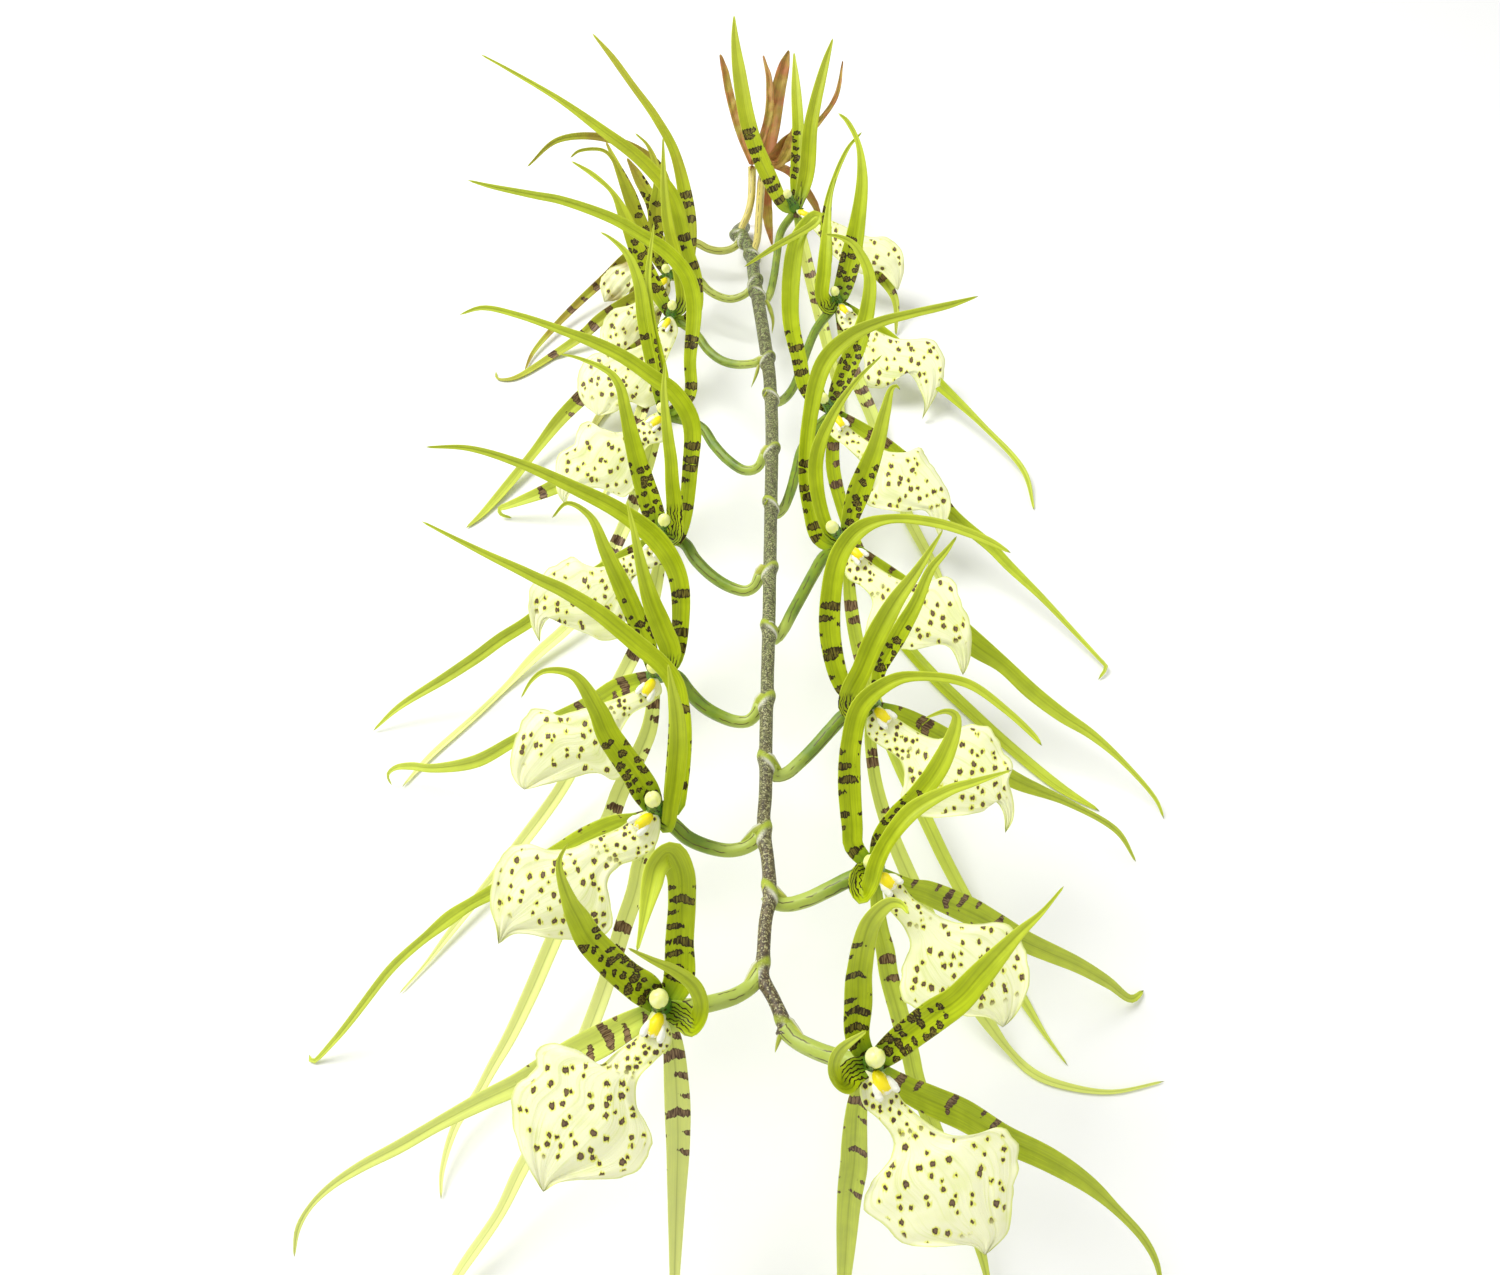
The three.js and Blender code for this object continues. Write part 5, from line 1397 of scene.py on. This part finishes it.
class Shader:
    """Adds nodes to a tree. An input is given as a value to set or as a socket to link."""

    def __init__(self, tree):
        self.tree = tree

    def feed(self, socket, value):
        if isinstance(value, bpy.types.NodeSocket):
            self.tree.links.new(value, socket)
        else:
            socket.default_value = value

    def node(self, kind, inputs=None, **settings):
        node = self.tree.nodes.new(kind)
        for name, value in settings.items():
            setattr(node, name, value)
        for name, value in (inputs or {}).items():
            self.feed(node.inputs[name], value)
        return node

    def math(self, operation, first, second=0.0):
        node = self.node("ShaderNodeMath", operation=operation)
        self.feed(node.inputs[0], first)
        self.feed(node.inputs[1], second)
        return node.outputs[0]

    def times(self, first, second):
        return self.math("MULTIPLY", first, second)

    def plus(self, first, second):
        return self.math("ADD", first, second)

    def minus(self, first, second):
        return self.math("SUBTRACT", first, second)

    def over(self, first, second):
        return self.math("DIVIDE", first, second)

    def blend(self, amount, first, second):
        node = self.node("ShaderNodeMix", data_type="RGBA")
        for index, value in ((0, amount), (6, first), (7, second)):
            self.feed(node.inputs[index], value)
        return node.outputs[2]

    def step(self, value, start, end, low=0.0, high=1.0):
        inputs = {"Value": value, "From Min": start, "From Max": end, "To Min": low, "To Max": high}
        return self.node("ShaderNodeMapRange", inputs, interpolation_type="SMOOTHSTEP").outputs[0]

    def noise(self, vector, scale, detail=2.0):
        inputs = {"Vector": vector, "Scale": scale, "Detail": detail}
        return self.node("ShaderNodeTexNoise", inputs).outputs["Fac"]

    def split(self, vector):
        return self.node("ShaderNodeSeparateXYZ", {"Vector": vector}).outputs

    def split_colour(self, value):
        return self.node("ShaderNodeSeparateColor", {"Color": value}).outputs[:3]

    def join(self, x, y, z):
        return self.node("ShaderNodeCombineXYZ", {"X": x, "Y": y, "Z": z}).outputs[0]

    def attribute(self, name):
        return self.node("ShaderNodeAttribute", attribute_name=name, attribute_type="GEOMETRY").outputs

    def group(self, tree, inputs):
        node = self.node("ShaderNodeGroup", node_tree=tree)
        for name, value in inputs.items():
            self.feed(node.inputs[name], value)
        return node.outputs


class Finish(Shader):
    """A new material, and what it reads from the skin that carries it."""

    def __init__(self, name, roughness, soft=0.0):
        self.material = bpy.data.materials.new(name)
        self.material.use_nodes = True
        super().__init__(self.material.node_tree)
        self.inputs = self.tree.nodes["Principled BSDF"].inputs
        self.inputs["Roughness"].default_value = roughness
        self.inputs["Subsurface Weight"].default_value = soft
        self.inputs["Subsurface Radius"].default_value = FLESH_RADIUS
        self.inputs["Subsurface Scale"].default_value = FLESH_DEPTH

    def blade(self):
        """Where a point is on its blade: across, along and a seed."""
        return self.attribute("blade")["Vector"]

    def state(self):
        """The four numbers that the skin's shape function gives."""
        state = self.attribute("state")
        return (*self.split_colour(state["Color"]), state["Alpha"])

    def fading(self):
        return self.attribute("fading")["Fac"]

    def where(self):
        """Where a point is in the object, in metres."""
        return self.node("ShaderNodeTexCoord").outputs["Object"]

    def bump(self, height, strength, distance):
        node = self.node("ShaderNodeBump", {"Height": height, "Strength": strength, "Distance": distance})
        self.feed(self.inputs["Normal"], node.outputs["Normal"])

    def done(self, base):
        """Wires up the colour and gives the material."""
        self.feed(self.inputs["Base Color"], base)
        return self.material


def new_group(name, inputs, outputs):
    """A shader node group with named sockets: the group, its builder, its inputs and its output node."""
    tree = bpy.data.node_groups.new(name, "ShaderNodeTree")
    for socket, kind in inputs:
        tree.interface.new_socket(socket, in_out="INPUT", socket_type=kind)
    for socket, kind in outputs:
        tree.interface.new_socket(socket, in_out="OUTPUT", socket_type=kind)
    shader = Shader(tree)
    return tree, shader, shader.node("NodeGroupInput").outputs, shader.node("NodeGroupOutput").inputs


# ---- Patterns ----

BLOTCH_SIZES = ("Cell Along", "Cell Across", "Tall", "Wide")  # of the cell that holds it, and of its own half
BLOTCH_SHARES = (
    "Jitter", "Share",  # how far the blotches stray from a grid, and how many cells have one
    "Fade",  # over what share of their reach they thin out
    "Ragged", "Rim",  # how rough their edge is, and how wide the rim round the core
)
EVERYWHERE = 1.0  # a reach in metres that is past the end of every blade
SEED_SHIFT = 3.77  # cells along the blade for each unit of the seed
TEETH_ACROSS, TEETH_ALONG, TEETH_SEED = 1500.0, 480.0, 9.0  # the noise of a blotch's ragged edge
BLOTCH_LEAST, BLOTCH_SPREAD = 0.6, 0.65  # the smallest blotch, and how much larger the largest is
MASK_EDGE = (-0.04, 0.1)
CORE_EDGE = 0.18
HALO_EDGE = (-0.9, 0.0)
VEINS_ALONG, MOTTLE, GRAIN = 45.0, 160.0, 3800.0  # noise scales of the flesh
VEINS_ACROSS = {"tepal": 2300.0, "stalk": 1600.0, "bract": 2600.0, "withered": 2000.0}

BLOTCHES = {  # the blotch sizes in millimetres, and the blotch shares
    "upper sepal": ((4.5, 8.5, 1.35, 3.5), (0.7, 0.95, 0.2, 1.5, 0.22)),
    "petal": ((3.0, 3.3, 1.2, 1.6), (0.75, 0.95, 0.55, 1.6, 0.3)),
    "lower sepal": ((7.2, 9.5, 1.6, 4.0), (0.6, 0.94, 0.3, 1.3, 0.1)),
    "lip": ((3.7, 3.9, 0.8, 0.66), (0.85, 0.84, 0.0, 2.6, 0.45)),
    "lip neck": ((2.5, 2.5, 0.62, 0.58), (0.85, 0.85, 0.0, 2.2, 0.45)),
    "column": ((1.6, 1.6, 0.5, 0.5), (0.85, 1.0, 0.0, 0.8, 0.4)),
}


def blotch_group():
    """Ragged blotches scattered over a blade, one at most in each cell: where they are, where they are more
    than a rim's width from their edge, and the halo round them."""
    if "blotches" in bpy.data.node_groups:
        return bpy.data.node_groups["blotches"]
    inputs = [("Blade", VECTOR)] + [(name, FLOAT) for name in (*BLOTCH_SIZES, *BLOTCH_SHARES, "Reach")]
    outputs = [("Mask", FLOAT), ("Core", FLOAT), ("Halo", FLOAT)]
    tree, s, given, result = new_group("blotches", inputs, outputs)
    across, along, seed = s.split(given["Blade"])
    shift = s.times(seed, SEED_SHIFT)
    cell_x = s.plus(s.over(across, given["Cell Across"]), 0.5)  # a cell lies on the midrib
    cell_y = s.plus(s.over(along, given["Cell Along"]), shift)
    cells = s.node(
        "ShaderNodeTexVoronoi",
        {"Vector": s.join(cell_x, cell_y, 0.0), "Scale": 1.0, "Randomness": given["Jitter"]},
        voronoi_dimensions="2D",
    )
    centre_x, centre_y, _ = s.split(cells.outputs["Position"])
    centre_x = s.times(s.minus(centre_x, 0.5), given["Cell Across"])
    centre_y = s.times(s.minus(centre_y, shift), given["Cell Along"])
    aside = s.over(s.minus(across, centre_x), given["Wide"])
    ahead = s.over(s.minus(along, centre_y), given["Tall"])
    teeth = s.join(s.times(across, TEETH_ACROSS), s.times(along, TEETH_ALONG), s.times(seed, TEETH_SEED))
    rough = s.times(s.minus(s.noise(teeth, 1.0, 3.0), 0.5), given["Ragged"])
    distance = s.math("SQRT", s.plus(s.times(aside, aside), s.times(ahead, ahead)))
    distance = s.plus(distance, rough)
    random_size, random_reach, random_share = s.split_colour(cells.outputs["Color"])
    size = s.plus(s.times(random_size, BLOTCH_SPREAD), BLOTCH_LEAST)
    inside = s.minus(size, distance)
    limit = s.times(s.minus(1.0, s.times(random_reach, given["Fade"])), given["Reach"])
    kept = s.times(s.math("LESS_THAN", centre_y, limit), s.math("LESS_THAN", random_share, given["Share"]))
    core = s.step(inside, given["Rim"], s.plus(given["Rim"], CORE_EDGE))
    s.feed(result["Mask"], s.times(s.step(inside, *MASK_EDGE), kept))
    s.feed(result["Core"], s.times(core, kept))
    s.feed(result["Halo"], s.times(s.step(inside, *HALO_EDGE), kept))
    return tree


def blotches(s, blade, kind, reach=EVERYWHERE):
    """The blotch group's outputs for a kind of blotch that goes as far from the heart as the reach."""
    sizes, shares = BLOTCHES[kind]
    inputs = dict(zip(BLOTCH_SIZES, (size * MM for size in sizes)), Blade=blade, Reach=reach)
    return s.group(blotch_group(), {**inputs, **dict(zip(BLOTCH_SHARES, shares))})


def flesh_group():
    """The fine build of plant flesh: lengthwise veins, soft mottling and a height for the bump."""
    if "flesh" in bpy.data.node_groups:
        return bpy.data.node_groups["flesh"]
    tree, s, given, result = new_group(
        "flesh", [("Blade", VECTOR), ("Vein Scale", FLOAT)],
        [("Veins", FLOAT), ("Mottle", FLOAT), ("Height", FLOAT)],
    )
    across, along, seed = s.split(given["Blade"])
    stretched = s.join(s.times(across, given["Vein Scale"]), s.times(along, VEINS_ALONG), seed)
    veins = s.noise(stretched, 1.0, 3.0)
    mottle = s.noise(given["Blade"], MOTTLE)
    grain = s.noise(given["Blade"], GRAIN)
    s.feed(result["Veins"], s.step(veins, 0.42, 0.62))
    s.feed(result["Mottle"], s.step(mottle, 0.3, 0.7))
    s.feed(result["Height"], s.plus(s.times(veins, 0.7), s.times(grain, 0.3)))
    return tree


def flesh_of(s, blade, kind):
    return s.group(flesh_group(), {"Blade": blade, "Vein Scale": VEINS_ACROSS[kind]})


# ---- Sepals and petals ----

TEPAL_SHINE = 0.22
HEART_GREEN_REACH = 11 * MM
MIDRIB_LINE = (0.3 * MM, 0.08 * MM)  # from the midrib, where its dark line begins and is full
NETTING_ACROSS, NETTING_ALONG, PETAL_NETTING = 2600.0, 260.0, 2300.0  # the noise inside a blotch
LINED_LENGTH = 20 * MM  # of a folded petal whose tone is 1
LINE_END = 3 * MM  # over which the lines fade out
LINE_SPACING = 1.15 * MM
LINE_DRIFT = 16.0  # radians


def tepal_finish(name, colours, rim, core, reach):
    s = Finish(name, 0.45, 0.12)
    s.inputs["Specular IOR Level"].default_value = TEPAL_SHINE
    blade = s.blade()
    t, front, edge, tone = s.state()
    side, distance, seed = s.split(blade)
    flesh = flesh_of(s, blade, "tepal")
    blotch = blotches(s, blade, name, reach)
    base = s.blend(s.times(flesh["Mottle"], 0.6), colours.lime, colours.lime_light)
    base = s.blend(s.times(flesh["Veins"], 0.25), base, colours.lime_shade)
    base = s.blend(s.step(t, 0.35, 0.9, 0.0, 0.33), base, colours.tail)
    if name == "lower sepal":
        base = s.blend(s.times(s.step(t, 0.0, 0.35, 0.55, 0.95), tone), base, colours.pale)
    base = s.blend(s.step(distance, HEART_GREEN_REACH, 2 * MM, 0.0, 0.75), base, colours.heart_green)
    midrib = s.step(s.math("ABSOLUTE", side), *MIDRIB_LINE, 0.0, 0.24)
    base = s.blend(midrib, base, colours.lime_shade)
    base = s.blend(s.step(edge, 0.9, 1.0, 0.0, 0.35), base, colours.tail)
    uneven = s.step(s.noise(blade, 70.0), 0.35, 0.6, 0.35, 1.0)
    base = s.blend(s.times(s.fading(), uneven), base, colours.fading)
    shown = s.times(blotch["Mask"], front)
    if name == "petal":
        netting = s.noise(blade, PETAL_NETTING, 1.0)
        folded = s.step(tone, 0.0, 0.1)
        shown = s.times(shown, s.minus(1.0, folded))
        base = s.blend(s.times(petal_lines(s, blade, tone), folded), base, rim)
    else:
        stretched = s.join(s.times(side, NETTING_ACROSS), s.times(distance, NETTING_ALONG), seed)
        netting = s.noise(stretched, 1.0, 1.0)
    inner = s.blend(s.step(netting, 0.42, 0.58), rim, core)
    s.bump(flesh["Height"], 0.35, 0.2 * MM)
    return s.done(s.blend(shown, base, s.blend(blotch["Core"], rim, inner)))


def petal_lines(s, blade, tone):
    """The wandering lengthwise lines of a folded petal, which reach as far as its tone says."""
    side, distance, _ = s.split(blade)
    lined = s.minus(s.times(tone, LINED_LENGTH), distance)
    drift = s.times(s.noise(blade, 330.0), LINE_DRIFT)
    lines = s.math("SINE", s.plus(s.times(side, 2 * math.pi / LINE_SPACING), drift))
    return s.times(s.step(lines, 0.3, 0.6), s.step(lined, 0.0, LINE_END))


def tepal_finishes(sizes, colours):
    """The materials of the upper sepal, the petals and the lower sepals."""
    upper, lower = (colours.band, colours.band_core), (colours.lateral_band, colours.lateral_core)
    return [
        tepal_finish("upper sepal", colours, *upper, sizes.dorsal_bands),
        tepal_finish("petal", colours, *upper, sizes.petal_blotches),
        tepal_finish("lower sepal", colours, *lower, sizes.lateral_bands),
    ]


def withered_finish(colours):
    s = Finish("withered flesh", 0.6, 0.05)
    t = s.state()[0]
    flesh = flesh_of(s, s.blade(), "withered")
    base = s.blend(flesh["Mottle"], colours.withered, colours.withered_green)
    base = s.blend(s.step(t, 0.35, 0.05, 0.0, 0.7), base, colours.withered)
    base = s.blend(s.times(flesh["Veins"], 0.45), base, colours.band_core)
    s.bump(flesh["Height"], 0.7, 0.5 * MM)
    return s.done(base)


# ---- Lips and columns ----

LIP_NECK = (0.22, 0.3)  # along the lip, where the blade's spots begin
LIP_TIP = (0.86, 0.8)  # where they end
LIP_BARE_MARGIN = (0.16, 0.24)  # from the margin, where they begin, in the lip's state
NECK_END = (0.32, 0.24)  # along the lip, where the small spots of the neck end
NECK_BARE_MARGIN = (0.02, 0.06)
RAYS_ACROSS, RAYS_ALONG = 38.0, 3.0  # the lip's veins, over its whole width and length
GOLD_END = (0.86, 0.74)  # along the callus


def lip_finish(colours):
    s = Finish("lip flesh", 0.5, 0.15)
    blade = s.blade()
    t, _, margin, side = s.state()
    rays = s.noise(s.join(s.times(side, RAYS_ACROSS), s.times(t, RAYS_ALONG), 0.0), 1.0, 4.0)
    soft = s.noise(blade, 110.0)
    base = s.blend(s.step(rays, 0.5, 0.75, 0.0, 0.55), colours.cream, colours.lip_shade)
    base = s.blend(s.step(soft, 0.5, 0.75, 0.0, 0.35), base, colours.lip_shade)
    base = s.blend(s.step(margin, 0.09, 0.02, 0.0, 0.8), base, colours.lip_shade)
    big = blotches(s, blade, "lip")
    small = blotches(s, blade, "lip neck")
    on_blade = s.times(s.step(t, *LIP_NECK), s.step(t, *LIP_TIP))
    on_blade = s.times(on_blade, s.step(margin, *LIP_BARE_MARGIN))
    on_neck = s.times(s.step(t, *NECK_END), s.step(margin, *NECK_BARE_MARGIN))
    halo = s.plus(s.times(big["Halo"], on_blade), s.times(small["Halo"], on_neck))
    spots = s.plus(s.times(big["Mask"], on_blade), s.times(small["Mask"], on_neck))
    base = s.blend(s.times(halo, 0.9), base, colours.halo)
    base = s.blend(s.times(s.fading(), s.step(soft, 0.4, 0.7)), base, colours.fading)
    marked = s.blend(s.times(big["Core"], 0.6), colours.spot, colours.lateral_core)
    s.bump(s.plus(s.times(rays, 0.8), s.times(s.noise(blade, 3000.0), 0.2)), 0.5, 0.6 * MM)
    return s.done(s.blend(s.math("MINIMUM", spots, 1.0), base, marked))


def callus_finish(colours):
    s = Finish("callus flesh", 0.4)
    blade = s.blade()
    far, gilding = s.state()[:2]
    uneven = s.times(s.minus(s.noise(blade, 900.0), 0.5), 0.5)
    gold = s.times(s.step(s.plus(gilding, uneven), 0.3, 0.6), s.step(s.plus(far, uneven), *GOLD_END))
    s.bump(s.noise(blade, 2500.0), 0.25, 0.2 * MM)
    return s.done(s.blend(gold, colours.callus_white, colours.callus_gold))


def column_finish(colours):
    s = Finish("column flesh", 0.4, 0.1)
    blade = s.blade()
    t = s.state()[0]
    base = s.blend(s.step(s.noise(blade, 300.0), 0.35, 0.65), colours.column, colours.heart_green)
    specks = blotches(s, blade, "column")
    base = s.blend(s.times(specks["Mask"], s.step(t, 0.3, 0.5)), base, colours.band)
    s.bump(s.noise(blade, 2200.0), 0.3, 0.2 * MM)
    return s.done(base)


def cap_finish(colours):
    s = Finish("anther cap", 0.3, 0.2)
    blade = s.blade()
    t = s.state()[0]
    base = s.blend(s.step(s.noise(blade, 350.0), 0.35, 0.65, 0.0, 0.25), colours.cap, colours.callus_white)
    base = s.blend(s.step(t, 0.35, 0.1, 0.0, 0.7), base, colours.lime_light)
    s.bump(s.noise(blade, 2600.0), 0.12, 0.15 * MM)
    return s.done(base)


# ---- Stalks, stem and bracts ----

STALK_LINES = 6  # around a stalk
STALK_LINE_DRIFT = 6.0  # radians


def stalk_finish(colours):
    s = Finish("stalk skin", 0.42, 0.08)
    blade = s.blade()
    t, turn, near, age = s.state()
    flesh = flesh_of(s, blade, "stalk")
    base = s.blend(s.step(near, 0.75, 0.32), colours.stalk, colours.stalk_pale)
    base = s.blend(s.times(flesh["Mottle"], 0.3), base, colours.lime)
    base = s.blend(s.times(age, 0.85), base, colours.stalk_old)
    drift = s.times(s.noise(s.join(turn, s.times(t, 4.0), 0.0), 1.6), STALK_LINE_DRIFT)
    lines = s.math("SINE", s.plus(s.times(turn, STALK_LINES * 2 * math.pi), drift))
    broken = s.step(s.noise(blade, 190.0), 0.42, 0.55)
    line_mask = s.times(s.step(lines, 0.8, 0.95), s.times(broken, 0.85))
    s.bump(flesh["Height"], 0.3, 0.25 * MM)
    return s.done(s.blend(line_mask, base, colours.stalk_line))


def stem_finish(colours):
    """The young stem is purple, the old stem grey green, and green collars and white crescents mark nodes."""
    s = Finish("stem skin", 0.5, 0.05)
    where = s.where()
    t, _, collar, crescent = s.state()
    patches = s.noise(where, 220.0, 3.0)
    young = s.step(s.plus(t, s.times(patches, 0.25)), 0.45, 0.12)
    base = s.blend(young, colours.stem_green, colours.stem_purple)
    base = s.blend(s.step(t, 0.6, 0.9, 0.0, 0.4), base, colours.heart_green)
    base = s.blend(s.step(s.noise(where, 900.0, 3.0), 0.46, 0.54, 0.0, 0.75), base, colours.stem_dark)
    base = s.blend(s.step(s.noise(where, 1500.0), 0.55, 0.6, 0.0, 0.75), base, colours.stem_speck)
    broad = s.times(s.step(s.noise(where, 380.0), 0.48, 0.58), s.step(t, 0.2, 0.8, 0.15, 0.75))
    base = s.blend(broad, base, colours.stem_dark)
    ring = s.blend(s.step(t, 0.5, 0.85, 0.0, 0.8), colours.node_green, colours.stem_green)
    base = s.blend(s.times(collar, s.step(patches, 0.3, 0.5, 0.55, 0.95)), base, ring)
    s.bump(s.noise(where, 1700.0, 3.0), 0.45, 0.3 * MM)
    return s.done(s.blend(s.times(crescent, 0.95), base, colours.bract_edge))


def bract_finish(colours):
    s = Finish("bract paper", 0.6, 0.1)
    flesh = flesh_of(s, s.blade(), "bract")
    edge = s.state()[2]
    base = s.blend(flesh["Mottle"], colours.bract, colours.node_green)
    base = s.blend(s.times(flesh["Veins"], 0.3), base, colours.stalk_line)
    s.bump(flesh["Height"], 0.5, 0.3 * MM)
    return s.done(s.blend(s.step(edge, 0.62, 0.9, 0.0, 0.8), base, colours.bract_edge))


# ---- Floor ----

FLOOR_SHADE = (0.85, 0.85, 0.84, 1.0)


def floor_finish(colours):
    s = Finish("studio floor", 0.8)
    tone = s.step(s.noise(s.where(), 3.0), 0.3, 0.7, 0.0, 0.04)
    return s.done(s.blend(tone, colours.floor, FLOOR_SHADE))


# ---- Operators ----

SEED_STEP = 1.37  # from flower to flower
STALK_FADING = 0.4  # how far a stalk has faded, as a share of its flower's fading
FLOOR_HALF_SIZE = 6.0
SENSOR_WIDTH = 36.0  # of the camera, in millimetres
CLIP_START, CLIP_END = 0.01, 50.0
WORLD_LIGHT = 0.58
WHITE = (1, 1, 1, 1)
LAMPS = [  # name, place, size and power
    ("key", (-1.2, 0.5, 1.9), 1.4, 49.0),
    ("fill", (1.3, -1.2, 1.5), 1.6, 5.0),
]


def settings(context):
    return context.scene.orchid_sizes, context.scene.orchid_colours


def seeded_flowers(opened=None):
    """The name, the layout and the seed of every flower, or of the open or the withered flowers alone."""
    for i, (name, flower) in enumerate(FLOWERS.items()):
        if opened is None or opened == ("lip" in flower):
            yield name, flower, SEED_STEP * (i + 1)


class ORCHID_OT_stem(Operator):
    """Builds the zigzag stem with the papery bract at each stalk's foot"""
    bl_idname = "orchid.stem"
    bl_label = "Stem and bracts"

    def execute(self, context):
        sizes, colours = settings(context)
        bm = new_skin()
        stem_skin(bm, sizes)
        for _, flower, seed in seeded_flowers():
            scale_skin(bm, flower, sizes, seed)
        for i, (line, width) in enumerate(LONG_BRACTS):
            long_bract_skin(bm, line, width, i)
        add_piece(bm, "stem", [stem_finish(colours), bract_finish(colours)], "rachis")
        return {"FINISHED"}


class ORCHID_OT_stalks(Operator):
    """Builds the curved stalk of every flower"""
    bl_idname = "orchid.stalks"
    bl_label = "Flower stalks"

    def execute(self, context):
        sizes, colours = settings(context)
        finishes = [stalk_finish(colours)]
        for name, flower, seed in seeded_flowers():
            bm = new_skin()
            age = STALK_FADING * flower.get("fading", 0.0) if "lip" in flower else 1.0
            stalk_skin(bm, flower, sizes, seed, age)
            add_piece(bm, f"{name}_pedicel", finishes, f"{name}_stalk")
        return {"FINISHED"}


class ORCHID_OT_tepals(Operator):
    """Builds the sepals and petals of every open flower"""
    bl_idname = "orchid.tepals"
    bl_label = "Sepals and petals"

    def execute(self, context):
        sizes, colours = settings(context)
        finishes = tepal_finishes(sizes, colours)
        for name, flower, seed in seeded_flowers(opened=True):
            bm = tepal_pieces(flower, sizes, seed)
            add_piece(bm, f"{name}_perianth", finishes, f"{name}_tepals")
        return {"FINISHED"}


class ORCHID_OT_columns(Operator):
    """Builds the green column and the pale anther cap of every open flower"""
    bl_idname = "orchid.columns"
    bl_label = "Columns and caps"

    def execute(self, context):
        sizes, colours = settings(context)
        finishes = [column_finish(colours), cap_finish(colours)]
        for name, flower, seed in seeded_flowers(opened=True):
            bm = new_skin()
            column_skins(bm, flower, sizes, seed)
            add_piece(bm, f"{name}_column", finishes, f"{name}_tepals")
        return {"FINISHED"}


class ORCHID_OT_lips(Operator):
    """Builds the spotted lip of every open flower, with its callus"""
    bl_idname = "orchid.lips"
    bl_label = "Lips"

    def execute(self, context):
        sizes, colours = settings(context)
        finishes = [lip_finish(colours), callus_finish(colours)]
        for name, flower, seed in seeded_flowers(opened=True):
            bm = new_skin()
            lip_skin(bm, flower, sizes, seed)
            callus_skins(bm, flower, sizes, seed)
            set_fading(bm, flower)
            add_piece(bm, f"{name}_labellum", finishes, f"{name}_lip")
        return {"FINISHED"}


class ORCHID_OT_withered(Operator):
    """Builds the shrivelled flowers at the old end"""
    bl_idname = "orchid.withered"
    bl_label = "Withered flowers"

    def execute(self, context):
        sizes, colours = settings(context)
        finishes = [withered_finish(colours)] * 3  # for the upper sepal, the petals and the lower sepals
        for name, flower, seed in seeded_flowers(opened=False):
            bm = tepal_pieces(flower, sizes, seed, age=1.0)
            add_piece(bm, f"{name}_perianth", finishes, f"{name}_tepals")
        return {"FINISHED"}


class ORCHID_OT_stage(Operator):
    """Sets up the pale floor, the soft light and the camera"""
    bl_idname = "orchid.stage"
    bl_label = "Stage"

    def execute(self, context):
        _, colours = settings(context)
        add_floor(context.scene, colours)
        for lamp in LAMPS:
            add_lamp(context.scene, *lamp)
        light_world(context.scene)
        context.scene.view_settings.view_transform = "Standard"
        context.scene.camera = add_camera(context.scene)
        return {"FINISHED"}


def add_floor(scene, colours):
    bm = bmesh.new()
    bmesh.ops.create_grid(bm, x_segments=2, y_segments=2, size=FLOOR_HALF_SIZE)
    mesh = bpy.data.meshes.new("floor")
    bm.to_mesh(mesh)
    bm.free()
    mesh.materials.append(floor_finish(colours))
    floor = bpy.data.objects.new("floor", mesh)
    scene.collection.objects.link(floor)


def add_lamp(scene, name, place_at, size, power):
    """A square lamp that shines toward the origin."""
    lamp = bpy.data.lights.new(name, "AREA")
    lamp.size, lamp.energy = size, power
    holder = bpy.data.objects.new(name, lamp)
    holder.location = place_at
    holder.rotation_euler = (-Vector(place_at)).to_track_quat("-Z", "Y").to_euler()
    scene.collection.objects.link(holder)


def light_world(scene):
    world = bpy.data.worlds.new("studio")
    world.use_nodes = True
    background = world.node_tree.nodes["Background"].inputs
    background["Color"].default_value = WHITE
    background["Strength"].default_value = WORLD_LIGHT
    scene.world = world


def add_camera(scene):
    """A camera at the station point that sees just the sheet."""
    lens = bpy.data.cameras.new("camera")
    lens.sensor_fit, lens.sensor_width = "HORIZONTAL", SENSOR_WIDTH
    lens.lens = SENSOR_WIDTH * SHEET_DISTANCE / SHEET_WIDTH
    lens.clip_start, lens.clip_end = CLIP_START, CLIP_END
    camera = bpy.data.objects.new("camera", lens)
    camera.location = STATION
    camera.rotation_euler = (math.pi / 2 - STATION_PITCH, 0.0, 0.0)
    scene.collection.objects.link(camera)
    return camera


BUILDERS = (
    ORCHID_OT_stem, ORCHID_OT_stalks, ORCHID_OT_tepals, ORCHID_OT_columns, ORCHID_OT_lips, ORCHID_OT_withered,
    ORCHID_OT_stage,
)


class ORCHID_PT_panel(Panel):
    """Lists the spray's sizes, colours and builders"""
    bl_idname = "ORCHID_PT_panel"
    bl_label = "Brassia orchid"
    bl_space_type = "VIEW_3D"
    bl_region_type = "UI"
    bl_category = "Orchid"

    def draw(self, context):
        for group in settings(context):
            for name in group.__annotations__:
                self.layout.prop(group, name)
        for builder in BUILDERS:
            self.layout.operator(builder.bl_idname)


CLASSES = (OrchidSizes, OrchidColours, *BUILDERS, ORCHID_PT_panel)


def register():
    for cls in CLASSES:
        bpy.utils.register_class(cls)
    bpy.types.Scene.orchid_sizes = PointerProperty(type=OrchidSizes)
    bpy.types.Scene.orchid_colours = PointerProperty(type=OrchidColours)


def unregister():
    del bpy.types.Scene.orchid_colours
    del bpy.types.Scene.orchid_sizes
    for cls in reversed(CLASSES):
        bpy.utils.unregister_class(cls)


def main():
    register()
    bpy.ops.orchid.stem()
    bpy.ops.orchid.stalks()
    bpy.ops.orchid.tepals()
    bpy.ops.orchid.columns()
    bpy.ops.orchid.lips()
    bpy.ops.orchid.withered()
    bpy.ops.orchid.stage()


if __name__ == "__main__":
    main()
